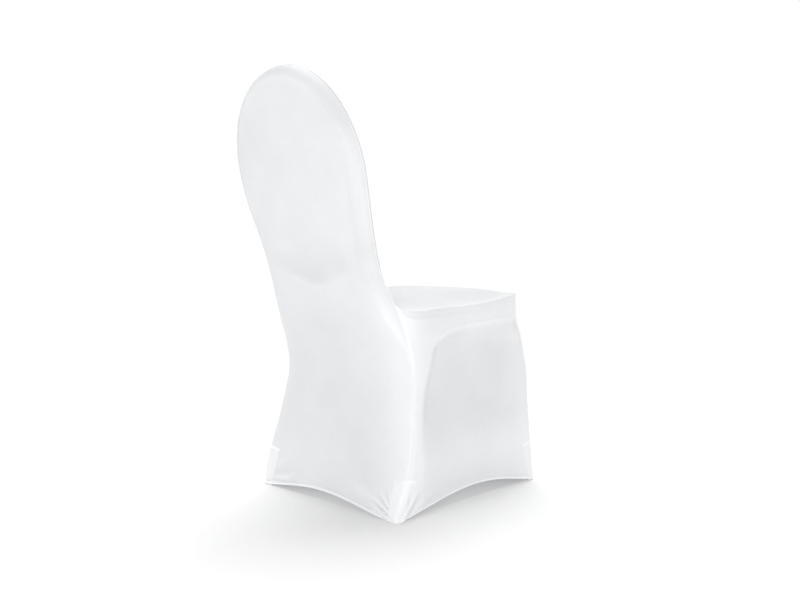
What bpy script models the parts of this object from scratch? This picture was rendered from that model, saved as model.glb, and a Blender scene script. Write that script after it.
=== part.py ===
"""White stretch chair cover, pulled tight over a banquet chair with a rounded back.

The chair is left out, so the cover is a hollow skin of four sewn panels with a doubled
pocket at each foot. The chair faces -Y, its back leans towards +Y, and the origin is on
the floor under the middle of the cover. All sizes are in metres.
"""
import math

import bmesh
import bpy
import numpy as np
from mathutils import Vector

# Driving dimensions
CLOTH = 0.0015
POCKET_CLOTH = 0.0012
GAP = 0.0003
SEAM_TRIM = GAP / 2
HEM_FLOOR = POCKET_CLOTH + GAP
ARCH_HALF_WIDTH = 0.190
ARCH_SPRING = 0.715
TOP_HEIGHT = 0.925
ARCH_TURN = math.radians(45)
SEAT_EDGE_ROUND = 0.010
SEAT_EDGE_DEPTH = 0.004
LEG_ROUND = 0.0085
LEG_ROUND_DEPTH = 0.0035
CUSHION_CORNER = 0.0425
CUSHION_CORNER_DEPTH = 0.0176
CUSHION_CORNER_BOW = 0.008
SIDE_DRAW_IN = 0.005
RIM_FOOT_DEPTH = 0.006
FRONT_RIM_ROUND = 0.018
FRONT_RIM_DEPTH = 0.015
BACK_FRONT_BOW = 0.008
BACK_FOOT_SAG = 0.012
REAR_HEM_RISE = 0.019
SIDE_HEM_RISE = 0.026
FRONT_HEM_RISE = 0.022
REAR_HEM_LEAN = 1.15
SIDE_HEM_LEAN = 0.82
HEM_SHAPE = 1.3
HEM_DRAW_IN = 0.008
HEM_REACH = 0.150
CROWN_SHAPE = 2.5
PAD_RELIEF = 0.004
PAD_EDGE_SOFT = 0.020
PAD_BOTTOM = 0.476
PAD_EDGE_SLOPE = 0.38
PAD_EDGE_TURN = 0.012
PAD_FADE = 0.1
RECESS_DEPTH = 0.009
RECESS_SOFT = 0.010
POCKET_WIDTH_TOP = 0.030
POCKET_WIDTH_FOOT = 0.016
POCKET_ROWS = 3
POCKET_FADE = 0.08
LEAN_STEP = 0.01
SMOOTH_ANGLE = math.radians(40)

# Heights between which one shape turns into the next, floor side first
LEG_TO_RIM = (0.30, 0.42)
LEAN_STARTS = 0.36
FOOT_OF_RIM = (0.34, 0.42)
DRAW_IN_ENDS = (0.30, 0.38)
CUSHION_STARTS = (0.33, 0.38)
RIM_FILLS_OUT = (0.43, 0.54)
BACK_TOP_STARTS = 0.45
FRONT_TOP_STARTS = 0.47
SIDE_TOP_REACH = (0.33, 0.44)

# Depths between which one shape turns into the next, along the side of the seat
SEAT_CORNER = (-0.21, -0.26)
SIDE_CORNER = (-0.2178, -0.2602)
SIDE_FRONT_MITRE = (-0.150, -0.2602)
SIDE_REAR_MITRE = (0.100, 0.142)

# The rounding beside each seam is cut into these shares of its width
ROUND_SHARES = (0.0, 0.18, 0.42, 0.70, 1.0)
TOP_COLUMNS = 12

# The seam down the rim of the back and the rear leg corner. Roundness 0.5 is a quarter
# ellipse that ends square to the face, 1.0 a flatter curve that ends at half a corner.
REAR_COLUMNS = ("height", "half_width", "depth", "round_width", "round_depth", "roundness", "crown")
REAR_ROWS = (
    (0.000, 0.2170, 0.1700, 0.0085, 0.0035, 1.00, 0.000),
    (0.050, 0.2235, 0.1560, 0.0085, 0.0035, 1.00, -0.003),
    (0.080, 0.2250, 0.1455, 0.0085, 0.0035, 1.00, -0.003),
    (0.120, 0.2225, 0.1330, 0.0085, 0.0035, 1.00, -0.002),
    (0.200, 0.2120, 0.1150, 0.0085, 0.0035, 1.00, 0.002),
    (0.280, 0.2020, 0.1060, 0.0085, 0.0035, 1.00, 0.006),
    (0.340, 0.2020, 0.1160, 0.0090, 0.0045, 0.95, 0.005),
    (0.380, 0.1985, 0.1256, 0.0140, 0.0140, 0.75, 0.001),
    (0.420, 0.1895, 0.1358, 0.0200, 0.0240, 0.58, -0.003),
    (0.440, 0.1860, 0.1420, 0.0220, 0.0270, 0.52, -0.004),
    (0.500, 0.1715, 0.1670, 0.0220, 0.0280, 0.50, -0.002),
    (0.580, 0.1745, 0.1930, 0.0220, 0.0280, 0.50, 0.001),
    (0.660, 0.1865, 0.2180, 0.0220, 0.0280, 0.50, 0.003),
    (0.715, 0.1900, 0.2320, 0.0220, 0.0280, 0.50, 0.003),
    (0.800, 0.1737, 0.2530, 0.0220, 0.0280, 0.50, 0.002),
    (0.880, 0.1175, 0.2715, 0.0220, 0.0280, 0.50, 0.000),
    (0.925, 0.0000, 0.2800, 0.0220, 0.0280, 0.50, 0.000),
)

# The seam down the front leg corner. The cushion's corner above the leg is round and large.
FRONT_COLUMNS = ("height", "half_width", "depth", "round_width", "round_depth", "crown")
FRONT_ROWS = (
    (0.000, 0.2075, -0.2990, 0.0085, 0.0035, 0.000),
    (0.150, 0.2030, -0.2855, 0.0085, 0.0035, -0.004),
    (0.310, 0.1983, -0.2690, 0.0085, 0.0035, -0.003),
    (0.345, 0.1925, -0.2670, 0.0220, 0.0090, 0.004),
    (0.380, 0.1825, -0.2645, CUSHION_CORNER, CUSHION_CORNER_DEPTH, 0.014),
    (0.425, 0.1810, -0.2610, CUSHION_CORNER, CUSHION_CORNER_DEPTH, 0.017),
    (0.4445, 0.1804, -0.2602, CUSHION_CORNER, CUSHION_CORNER_BOW, 0.018),
)

# The seam along the side edge of the seat, from the front corner to the foot of the back
SEAT_COLUMNS = ("depth", "half_width", "height", "bow", "crown")
SEAT_ROWS = (
    (-0.2602, 0.1804, 0.4445, 0.0180, 0.0000),
    (-0.2400, 0.1925, 0.4440, 0.0220, 0.0035),
    (-0.2178, 0.1980, 0.4415, 0.0140, 0.0050),
    (-0.1430, 0.1985, 0.4320, 0.0030, 0.0130),
    (-0.0540, 0.1985, 0.4270, 0.0000, 0.0150),
    (0.0350, 0.1980, 0.4265, 0.0000, 0.0090),
    (0.0900, 0.1975, 0.4250, 0.0000, 0.0010),
    (0.1230, 0.1930, 0.4290, 0.0000, -0.0050),
    (0.1420, 0.1860, 0.4400, 0.0030, -0.0120),
)

# Line of the hollow on each side, under the seat rail and in front of the rear leg
HOLLOW_COLUMNS = ("height", "depth")
HOLLOW_ROWS = (
    (0.000, 0.085),
    (0.120, 0.098),
    (0.165, 0.098),
    (0.250, 0.080),
    (0.316, 0.054),
    (0.345, 0.047),
    (0.3625, 0.034),
    (0.372, 0.010),
    (0.381, -0.014),
    (0.388, -0.138),
)
HOLLOW_FADE = (0.130, 0.230)
HOLLOW_FRONT_REACH = 0.070
HOLLOW_FOLLOW = (0.340, 0.378)
HOLLOW_COLUMN_GAP = 0.006
HOLLOW_COLUMN = 7
HOLLOW_HEIGHTS = np.linspace(0.100, HOLLOW_ROWS[-1][0], 91)

# Heights at which the leg seams are stitched through, floor to seat
REAR_LEG_HEIGHTS = (HEM_FLOOR, 0.029, 0.057, 0.086, 0.125, 0.165, 0.205, 0.245, 0.285,
                    0.320, 0.345, 0.362, 0.378, 0.393, 0.408, 0.423, 0.440)
FRONT_LEG_HEIGHTS = (HEM_FLOOR, 0.031, 0.063, 0.095, 0.130, 0.165, 0.205, 0.245, 0.285,
                     0.318, 0.336, 0.354, 0.372, 0.390, 0.410, 0.428, 0.4445)
SEAT_DEPTHS = (-0.2602, -0.2420, -0.2178, -0.1700, -0.1100, -0.0500, 0.0050, 0.0420,
               0.0600, 0.0980, 0.1240, 0.1420)
RIM_HEIGHTS = (0.440, 0.456, 0.476, 0.500, 0.530, 0.565, 0.600, 0.640, 0.680, 0.715)
RIM_TURNS = (79, 68, 57, 45)

# A face of the skin carries its panel's number times the step, plus its pocket's code
CODE_STEP = 8
POCKETS = {"rear_right": 1, "rear_left": 2, "front_right": 3, "front_left": 4}
WELD = 0.00002
SHARPEST = 1.9
STEADY = 0.01

WHITE_CLOTH = (0.86, 0.87, 0.89, 1.0)
POCKET_WHITE = (0.90, 0.91, 0.92, 1.0)
CLOTH_ROUGHNESS = 0.62
POCKET_ROUGHNESS = 0.70


class Table:
    """A table with named columns, read as a smooth curve by its first column."""

    def __init__(self, columns, rows):
        data = np.array(rows)
        self.key = data[:, 0]
        self.columns = {name: data[:, index] for index, name in enumerate(columns)}

    def at(self, value, name):
        """Cubic through the rows, whose slope at a row is that of its neighbours."""
        column = self.columns[name]
        slope = np.gradient(column, self.key)
        row = int(np.clip(np.searchsorted(self.key, value) - 1, 0, len(self.key) - 2))
        width = self.key[row + 1] - self.key[row]
        t = min(max((value - self.key[row]) / width, 0.0), 1.0)
        start = (1 + 2 * t) * (1 - t) ** 2 * column[row] + t * (1 - t) ** 2 * width * slope[row]
        end = t * t * (3 - 2 * t) * column[row + 1] + t * t * (t - 1) * width * slope[row + 1]
        return float(start + end)


REAR = Table(REAR_COLUMNS, REAR_ROWS)
FRONT = Table(FRONT_COLUMNS, FRONT_ROWS)
SEAT = Table(SEAT_COLUMNS, SEAT_ROWS)
HOLLOW = Table(HOLLOW_COLUMNS, HOLLOW_ROWS)


def smoothstep(low, high, value):
    """A share that rises smoothly from 0 to 1 as the value goes from low to high."""
    share = min(max((value - low) / (high - low), 0.0), 1.0)
    return share * share * (3 - 2 * share)


def mix(start, end, share):
    """The value at a share of the way from start to end."""
    return start * (1 - share) + end * share


class Station:
    """A point on a seam, with the cloth's rounding beside it."""

    def __init__(self, point, inward, bulge, width, roundness, crown=Vector((0, 0, 0))):
        self.point = point
        self.inward = inward
        self.bulge = bulge
        self.width = width
        self.roundness = roundness
        self.crown = crown

    def across(self, share):
        """The cloth's place at a share of the rounding's width, in from the seam."""
        lift = (1 - (1 - share) ** 2) ** self.roundness
        return self.point + self.inward * (self.width * share) + self.bulge * lift

    def mirrored(self):
        """The same station on the other side of the cover."""
        flip = Vector((-1, 1, 1))
        return Station(self.point * flip, self.inward * flip, self.bulge * flip,
                       self.width, self.roundness, self.crown * flip)


def back_lean(height):
    """Unit vectors up the leaning face and out of its rear."""
    low = max(height - LEAN_STEP, 0.0)
    high = min(height + LEAN_STEP, TOP_HEIGHT)
    rise = REAR.at(high, "depth") - REAR.at(low, "depth")
    up = Vector((0, rise, high - low)).normalized()
    return up, Vector((0, up.z, -up.y))


def rear_seam_point(height):
    """A point on the seam round the back and down the right rear leg."""
    return Vector((-REAR.at(height, "half_width"), REAR.at(height, "depth"), height))


def front_seam_point(height):
    """A point on the seam down the right front leg."""
    return Vector((-FRONT.at(height, "half_width"), FRONT.at(height, "depth"), height))


def seat_seam_point(depth):
    """A point on the seam along the right side of the seat."""
    return Vector((-SEAT.at(depth, "half_width"), depth, SEAT.at(depth, "height")))


def arch_place(turn):
    """A point on the arch of the back and the way in from it, turn 0 at its top."""
    half_height = TOP_HEIGHT - ARCH_SPRING
    height = ARCH_SPRING + half_height * math.cos(turn)
    point = Vector((ARCH_HALF_WIDTH * math.sin(turn), REAR.at(height, "depth"), height))
    up, outward = back_lean(height)
    side = Vector((-math.sin(turn) * half_height, 0, 0)) - up * (math.cos(turn) * ARCH_HALF_WIDTH)
    return point, side.normalized(), outward


def rear_station(height):
    """The back panel's edge on the rim of the back or the rear leg."""
    _up, outward = back_lean(max(height, LEAN_STARTS))
    upright = smoothstep(*LEG_TO_RIM, height)
    outward = mix(Vector((0, 1, 0)), outward, upright).normalized()
    return Station(rear_seam_point(height), Vector((1, 0, 0)), outward * REAR.at(height, "round_depth"),
                   REAR.at(height, "round_width"), REAR.at(height, "roundness"),
                   Vector((0, REAR.at(height, "crown"), 0)))


def arch_station(turn, sign):
    """An edge on the arch, sign +1 for the rear panel and -1 for the front one."""
    point, inward, outward = arch_place(turn)
    if sign > 0:
        return Station(point, inward, outward * REAR.at(point.z, "round_depth"),
                       REAR.at(point.z, "round_width"), REAR.at(point.z, "roundness"))
    return Station(point, inward, outward * -FRONT_RIM_DEPTH, FRONT_RIM_ROUND, 0.5)


def front_rim_station(height):
    """The front panel's edge on the rim of the back, flat where it meets the seat."""
    _up, outward = back_lean(height)
    full = smoothstep(*RIM_FILLS_OUT, height)
    crown = Vector((0, -BACK_FRONT_BOW * full, -BACK_FOOT_SAG * (1 - full) ** 3))
    return Station(rear_seam_point(height), Vector((1, 0, 0)), outward * (-FRONT_RIM_DEPTH * full),
                   FRONT_RIM_ROUND, 0.5, crown)


def seat_station(depth):
    """The front panel's edge along the side of the seat."""
    near_front = smoothstep(*SEAT_CORNER, depth)
    bulge = Vector((0, -CUSHION_CORNER_BOW * near_front, SEAT_EDGE_DEPTH * (1 - near_front)))
    width = mix(SEAT_EDGE_ROUND, CUSHION_CORNER, near_front)
    return Station(seat_seam_point(depth), Vector((1, 0, 0)), bulge, width, 1.0,
                   Vector((0, -SEAT.at(depth, "bow"), SEAT.at(depth, "crown"))))


def front_station(height):
    """The front panel's edge down the front leg."""
    return Station(front_seam_point(height), Vector((1, 0, 0)),
                   Vector((0, -FRONT.at(height, "round_depth"), 0)), FRONT.at(height, "round_width"),
                   1.0, Vector((0, -FRONT.at(height, "crown"), 0)))


def side_rear_station(height):
    """The side panel's edge on the rear leg, or on the foot of the back's rim."""
    depth = mix(LEG_ROUND_DEPTH, RIM_FOOT_DEPTH, smoothstep(*FOOT_OF_RIM, height))
    crown = Vector((SIDE_DRAW_IN * (1 - smoothstep(*DRAW_IN_ENDS, height)), 0, 0))
    return Station(rear_seam_point(height), Vector((0, -1, 0)), Vector((-depth, 0, 0)),
                   LEG_ROUND, 1.0, crown)


def side_front_station(height):
    """The side panel's edge on the front leg. The cushion's corner turns further in."""
    depth = mix(LEG_ROUND_DEPTH, CUSHION_CORNER_DEPTH, smoothstep(*CUSHION_STARTS, height))
    crown = Vector((SIDE_DRAW_IN * (1 - smoothstep(*DRAW_IN_ENDS, height)), 0, 0))
    return Station(front_seam_point(height), Vector((0, 1, 0)), Vector((-depth, 0, 0)),
                   FRONT.at(height, "round_width"), 1.0, crown)


def side_top_station(depth):
    """The side panel's edge under the side of the seat, mitred into the corners at its ends."""
    near_front = smoothstep(*SIDE_FRONT_MITRE, depth)
    near_rear = smoothstep(*SIDE_REAR_MITRE, depth)
    way = Vector((0, CUSHION_CORNER * near_front - LEG_ROUND * near_rear, -SEAT_EDGE_ROUND))
    turn = smoothstep(*SIDE_CORNER, depth)
    bulge = Vector((-mix(SEAT_EDGE_DEPTH, CUSHION_CORNER_DEPTH, turn), 0, 0))
    return Station(seat_seam_point(depth), way.normalized(), bulge, way.length, 1.0)


def pocket_width(height, top):
    """How far a foot pocket reaches from its leg seam at a height."""
    return mix(POCKET_WIDTH_FOOT, POCKET_WIDTH_TOP, smoothstep(0.0, top, height))


def hem_curve(share, rise, lean, draw_in):
    """How far a hem is pulled up and in between two feet. A lean under 1 moves its crest back."""
    arch = math.sin(math.pi * share ** lean)
    return Vector((0, 0, rise * arch ** HEM_SHAPE)) + draw_in * arch


class Panel:
    """One cut panel: two side seams that rise from its hem, and the seam between their tops."""

    def __init__(self, name, first, top, second, hem, outward, span_axis, top_reach):
        self.name = name
        self.first = first
        self.top = top
        self.second = second
        self.hem_rise, self.hem_lean = hem
        self.outward = outward
        self.span_axis = span_axis
        self.top_reach = top_reach
        self.rows = len(first) - 1
        self.columns = len(top) - 1
        self.strip = len(ROUND_SHARES) - 1

    def plain_shares(self):
        """Where the columns stand across the panel, from the points of its top seam."""
        places = [station.across(1.0)[self.span_axis] for station in self.top]
        return [(place - places[0]) / (places[-1] - places[0]) for place in places]

    def row_shares(self, row):
        """The columns of one row before they follow the foot pockets."""
        return self.plain_shares()

    def shares(self, row):
        """The columns of one row. The outer ones follow the edges of the foot pockets."""
        shares = self.row_shares(row)
        left = self.first[row]
        right = self.second[row]
        length = (right.across(1.0) - left.across(1.0)).length
        left_edge = self.pocket_edge(self.first, row) / length
        right_edge = 1 - self.pocket_edge(self.second, row) / length
        if row < len(REAR_LEG_HEIGHTS) - 1:
            shares[1] = mix(left_edge, shares[1], self.past_pocket(self.first, row))
            shares[-2] = mix(right_edge, shares[-2], self.past_pocket(self.second, row))
        return shares

    def pocket_edge(self, rail, row):
        """The pocket's width past the rounding beside its seam."""
        top = rail[POCKET_ROWS].point.z
        return pocket_width(rail[row].point.z, top) - rail[row].width

    def past_pocket(self, rail, row):
        """How far a row is above the pocket, from 0 at its top to 1."""
        top = rail[POCKET_ROWS].point.z
        return smoothstep(top, top + POCKET_FADE, rail[row].point.z)

    def relief(self, point, row):
        """What shows through the cloth, added to a point of the panel."""
        return Vector((0, 0, 0))

    def top_weight(self, row):
        """How far a row follows the shape of the top seam."""
        low, high = self.top_reach
        return smoothstep(low, high, self.first[row].point.z)

    def core(self, column, row):
        """A point of the panel between the roundings beside its seams."""
        if row == self.rows:
            return self.top[column].across(1.0)
        left = self.first[row].across(1.0)
        right = self.second[row].across(1.0)
        if column == 0:
            return left
        if column == self.columns:
            return right
        share = self.shares(row)[column]
        plain = self.plain_shares()[column]
        point = left.lerp(right, share)
        ends = self.top[0].across(1.0).lerp(self.top[-1].across(1.0), plain)
        weight = self.top_weight(row)
        point += (self.top[column].across(1.0) - ends) * weight
        low = 1 - smoothstep(0.0, HEM_REACH, self.first[row].point.z)
        point += hem_curve(share, self.hem_rise, self.hem_lean, self.outward * -HEM_DRAW_IN) * low
        crown = self.first[row].crown.lerp(self.second[row].crown, share)
        point += crown * (1 - abs(2 * share - 1) ** CROWN_SHAPE) * (1 - weight ** 3)
        return point + self.relief(point, row)

    def place(self, column, row):
        """A vertex of the whole grid, roundings included."""
        if row > self.rows:
            station = self.top[min(max(column - self.strip, 0), self.columns)]
            return station.across(ROUND_SHARES[self.strip + self.rows - row])
        if column < self.strip:
            return self.first[row].across(ROUND_SHARES[column])
        if column > self.strip + self.columns:
            return self.second[row].across(ROUND_SHARES[2 * self.strip + self.columns - column])
        return self.core(column - self.strip, row)

    def mesh(self, slot, pocket_codes):
        """The panel's outer face as an open sheet, each face coded by panel and pocket."""
        across = self.columns + 2 * self.strip
        up = self.rows + self.strip
        sheet = bmesh.new()
        bmesh.ops.create_grid(sheet, x_segments=across, y_segments=up, size=0.5)
        spare = []
        for face in sheet.faces:
            centre = face.calc_center_median()
            column = int((centre.x + 0.5) * across)
            row = int((centre.y + 0.5) * up)
            code = 0
            if row < POCKET_ROWS and column <= self.strip:
                code = pocket_codes[0]
            if row < POCKET_ROWS and column >= self.strip + self.columns - 1:
                code = pocket_codes[1]
            face.material_index = slot * CODE_STEP + code
            if row >= self.rows and not self.strip <= column < self.strip + self.columns:
                spare.append(face)
        for vertex in sheet.verts:
            column = round((vertex.co.x + 0.5) * across)
            row = round((vertex.co.y + 0.5) * up)
            vertex.co = self.place(column, row)
        bmesh.ops.delete(sheet, geom=spare, context="FACES")
        bmesh.ops.remove_doubles(sheet, verts=sheet.verts, dist=WELD)
        sheet.normal_update()
        facing = sum((face.normal * face.calc_area() for face in sheet.faces), Vector((0, 0, 0)))
        if facing.dot(self.outward) < 0:
            bmesh.ops.reverse_faces(sheet, faces=sheet.faces)
        mesh = bpy.data.meshes.new(self.name)
        sheet.to_mesh(mesh)
        sheet.free()
        return mesh


class BackPanel(Panel):
    """The rear panel. The lower edge of the padded back shows through it as a faint arc."""

    def relief(self, point, row):
        """Raises the cloth over the pad, down to an edge that rises to both sides."""
        edge = PAD_BOTTOM + math.hypot(PAD_EDGE_SLOPE * point.x, PAD_EDGE_TURN) - PAD_EDGE_TURN
        raised = smoothstep(-PAD_EDGE_SOFT / 2, PAD_EDGE_SOFT / 2, point.z - edge)
        fade = 1 - smoothstep(ARCH_SPRING, ARCH_SPRING + PAD_FADE, point.z)
        return Vector((0, PAD_RELIEF * raised * fade, 0))


class SidePanel(Panel):
    """A side panel. The cloth sinks in under the seat rail and in front of the rear leg."""

    def row_shares(self, row):
        """Two columns follow the edge of the hollow down the rear leg."""
        plain = self.plain_shares()
        start = self.first[row].across(1.0).y
        length = self.second[row].across(1.0).y - start
        height = self.second[row].point.z
        edge = HOLLOW.at(height, "depth")
        inside = (edge - HOLLOW_COLUMN_GAP - start) / length
        outside = (edge + HOLLOW_COLUMN_GAP - start) / length
        follow = 1 - smoothstep(*HOLLOW_FOLLOW, height)
        inner = HOLLOW_COLUMN
        behind = len(plain) - 2 - inner
        shares = list(plain)
        shares[inner] = mix(plain[inner], inside, follow)
        for column in range(1, inner):
            shares[column] = plain[column] * shares[inner] / plain[inner]
        for step in range(behind):
            even = mix(outside, 1.0, step / behind)
            shares[inner + 1 + step] = mix(plain[inner + 1 + step], even, follow)
        return shares

    def relief(self, point, row):
        """Sinks the cloth on one side of the hollow's line."""
        line = [Vector((HOLLOW.at(height, "depth"), height)) for height in HOLLOW_HEIGHTS]
        spot = Vector((point.y, point.z))
        distance = min((spot - place).length for place in line)
        inside = point.z < HOLLOW_ROWS[-1][0] and point.y < HOLLOW.at(point.z, "depth")
        sunk = smoothstep(0, RECESS_SOFT, distance) if inside else 0.0
        fade = smoothstep(*HOLLOW_FADE, point.z)
        front = self.first[row].across(1.0).y
        fade *= smoothstep(0.0, HOLLOW_FRONT_REACH, point.y - front)
        return self.outward * (-RECESS_DEPTH * sunk * fade)


def mirrored(stations):
    """The same seam on the other side of the cover."""
    return [station.mirrored() for station in stations]


def back_panel():
    """The panel down the rear of the back and the rear legs, to the rear hem."""
    rail = [rear_station(height) for height in REAR_LEG_HEIGHTS + RIM_HEIGHTS[1:]]
    rail += [arch_station(-math.radians(turn), 1) for turn in RIM_TURNS]
    top = [arch_station(mix(-ARCH_TURN, ARCH_TURN, step / TOP_COLUMNS), 1)
           for step in range(TOP_COLUMNS + 1)]
    return BackPanel("back_panel", rail, top, mirrored(rail), (REAR_HEM_RISE, REAR_HEM_LEAN),
                     Vector((0, 1, 0)), 0, (BACK_TOP_STARTS, top[0].point.z))


def front_panel():
    """The panel from the front hem over the seat and up the front of the back."""
    rail = [front_station(height) for height in FRONT_LEG_HEIGHTS[:-1]]
    rail += [seat_station(depth) for depth in SEAT_DEPTHS[:-1]]
    rail += [front_rim_station(height) for height in RIM_HEIGHTS]
    rail += [arch_station(-math.radians(turn), -1) for turn in RIM_TURNS]
    top = [arch_station(mix(-ARCH_TURN, ARCH_TURN, step / TOP_COLUMNS), -1)
           for step in range(TOP_COLUMNS + 1)]
    return Panel("front_panel", rail, top, mirrored(rail), (FRONT_HEM_RISE, 1.0),
                 Vector((0, -1, 0)), 0, (FRONT_TOP_STARTS, top[0].point.z))


def side_panel(name, left):
    """The panel under one side of the seat, between its front leg and its rear leg."""
    front = [side_front_station(height) for height in FRONT_LEG_HEIGHTS[:-1]]
    rear = [side_rear_station(height) for height in REAR_LEG_HEIGHTS[:-1]]
    top = [side_top_station(depth) for depth in SEAT_DEPTHS]
    front.append(top[0])
    rear.append(top[-1])
    outward = Vector((-1, 0, 0))
    if left:
        front, top, rear = mirrored(front), mirrored(top), mirrored(rear)
        outward = Vector((1, 0, 0))
    return SidePanel(name, front, top, rear, (SIDE_HEM_RISE, SIDE_HEM_LEAN), outward, 1,
                     SIDE_TOP_REACH)


def whole_skin():
    """All four panels as one sheet, welded along their seams."""
    panels = (
        (back_panel(), (POCKETS["rear_right"], POCKETS["rear_left"])),
        (front_panel(), (POCKETS["front_right"], POCKETS["front_left"])),
        (side_panel("side_panel_right", False), (POCKETS["front_right"], POCKETS["rear_right"])),
        (side_panel("side_panel_left", True), (POCKETS["front_left"], POCKETS["rear_left"])),
    )
    skin = bmesh.new()
    for slot, (panel, pocket_codes) in enumerate(panels):
        mesh = panel.mesh(slot, pocket_codes)
        skin.from_mesh(mesh)
        bpy.data.meshes.remove(mesh)
    bmesh.ops.remove_doubles(skin, verts=skin.verts, dist=WELD)
    bmesh.ops.triangulate(skin, faces=skin.faces, quad_method="SHORT_EDGE")
    skin.normal_update()
    return skin, [panel.name for panel, codes in panels]


def even_reach(vertex):
    """The step from a vertex that leaves each face beside it by the same distance of one."""
    corners = [(loop.calc_angle(), np.array(loop.face.normal)) for loop in vertex.link_loops]
    total = sum(angle for angle, normal in corners)
    matrix = sum(angle * np.outer(normal, normal) for angle, normal in corners)
    target = sum(angle * normal for angle, normal in corners)
    step = Vector(np.linalg.solve(matrix + np.eye(3) * total * STEADY, target))
    return step * min(1.0, SHARPEST / step.length)


def layer_ends(skin, outer, inner):
    """Each vertex's place on the two faces of a layer, at two distances out of the skin."""
    ends = {}
    for vertex in skin.verts:
        reach = even_reach(vertex)
        outside = vertex.co + reach * outer
        inside = vertex.co + reach * inner
        if vertex.is_boundary:
            outside.z = vertex.co.z
            inside.z = vertex.co.z
        ends[vertex.index] = [outside, inside]
    return ends


def trim_ways(skin, piece, number):
    """For each numbered vertex on a piece's outline, the ways in from its edges.

    A way lies in the plane between the two faces of the skin that meet on the edge, so two
    pieces draw back from their seam by the same distance in opposite directions.
    """
    leans = {}
    for edge in skin.edges:
        ends = frozenset(vertex.index for vertex in edge.verts)
        leans[ends] = sum((face.normal for face in edge.link_faces), Vector((0, 0, 0)))
    ways = {}
    for edge in piece.edges:
        if not edge.is_boundary:
            continue
        face = edge.link_faces[0]
        along = edge.verts[1].co - edge.verts[0].co
        way = leans[frozenset(vertex[number] for vertex in edge.verts)].cross(along).normalized()
        if way.dot(face.calc_center_median() - edge.verts[0].co) < 0:
            way = -way
        for vertex in edge.verts:
            ways.setdefault(vertex[number], []).append(way)
    return ways


def layer(skin, keep, outer, inner, trim):
    """The kept faces of the skin as a solid layer, still with its two faces' ends known."""
    skin.verts.index_update()
    ends = layer_ends(skin, outer, inner)
    hem = {vertex.index for vertex in skin.verts if vertex.is_boundary}
    piece = skin.copy()
    number = piece.verts.layers.int.new("number")
    piece.verts.index_update()
    for vertex in piece.verts:
        vertex[number] = vertex.index
    spare = [face for face in piece.faces if not keep(face.material_index)]
    bmesh.ops.delete(piece, geom=spare, context="FACES")
    if trim:
        for index, ways in trim_ways(skin, piece, number).items():
            step = ways[0] + ways[1]
            step *= trim / max(1 + ways[0].dot(ways[1]), 0.5)
            ends[index] = [end + step for end in ends[index]]
    grown = bmesh.ops.extrude_face_region(piece, geom=piece.faces[:], use_keep_orig=True)["geom"]
    inside = {item for item in grown if isinstance(item, bmesh.types.BMVert)}
    foot = {"outside": [], "inside": []}
    for vertex in piece.verts:
        side = 1 if vertex in inside else 0
        vertex.co = ends[vertex[number]][side]
        if vertex[number] in hem:
            foot["inside" if side else "outside"].append(vertex)
    split_rim(piece, number, inside)
    return piece, foot


def split_rim(piece, number, inside):
    """Halves each face of the rim the same way round as its neighbour across the seam does."""
    for face in [face for face in piece.faces if len(face.verts) == 4]:
        outer = min((vertex for vertex in face.verts if vertex not in inside),
                    key=lambda vertex: vertex[number])
        inner = [vertex for vertex in face.verts if vertex in inside and vertex[number] != outer[number]]
        bmesh.utils.face_split(face, outer, inner[0])


def close_sole(piece, foot):
    """Gives a foot pocket its flat sole, in place of the rim along its lower edge."""
    for vertex in foot["outside"]:
        vertex.co.z = 0.0
    for vertex in foot["inside"]:
        vertex.co.z = POCKET_CLOTH
    low = set(foot["outside"] + foot["inside"])
    rim = [face for face in piece.faces if all(vertex in low for vertex in face.verts)]
    bmesh.ops.delete(piece, geom=rim, context="FACES_ONLY")
    corners = []
    for side in ("outside", "inside"):
        verts = set(foot[side])
        edges = [edge for edge in piece.edges if edge.verts[0] in verts and edge.verts[1] in verts]
        count = {vertex: 0 for vertex in verts}
        for edge in edges:
            count[edge.verts[0]] += 1
            count[edge.verts[1]] += 1
        ends = sorted((vertex for vertex in verts if count[vertex] == 1), key=lambda end: end.co.y)
        edges.append(piece.edges.new(ends))
        corners.append(ends)
        bmesh.ops.contextual_create(piece, geom=edges)
    outside, inside = corners
    bmesh.ops.contextual_create(piece, geom=[outside[0], outside[1], inside[1], inside[0]])
    loose = [edge for edge in piece.edges if not edge.link_faces]
    bmesh.ops.delete(piece, geom=loose, context="EDGES")


def finish(piece, name, material, collection):
    """Turns a closed shape's faces outwards and puts it in the collection as an object."""
    bmesh.ops.recalc_face_normals(piece, faces=piece.faces)
    mesh = bpy.data.meshes.new(name)
    for face in piece.faces:
        face.material_index = 0
    piece.to_mesh(mesh)
    piece.free()
    mesh.shade_smooth()
    mesh.set_sharp_from_angle(angle=SMOOTH_ANGLE)
    mesh.materials.append(material)
    item = bpy.data.objects.new(name, mesh)
    collection.objects.link(item)
    return item


def cloth_material(name, colour, roughness):
    """A plain matt cloth of one colour."""
    material = bpy.data.materials.new(name)
    material.use_nodes = True
    shader = material.node_tree.nodes["Principled BSDF"]
    shader.inputs["Base Color"].default_value = colour
    shader.inputs["Roughness"].default_value = roughness
    shader.inputs["Metallic"].default_value = 0.0
    return material


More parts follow.
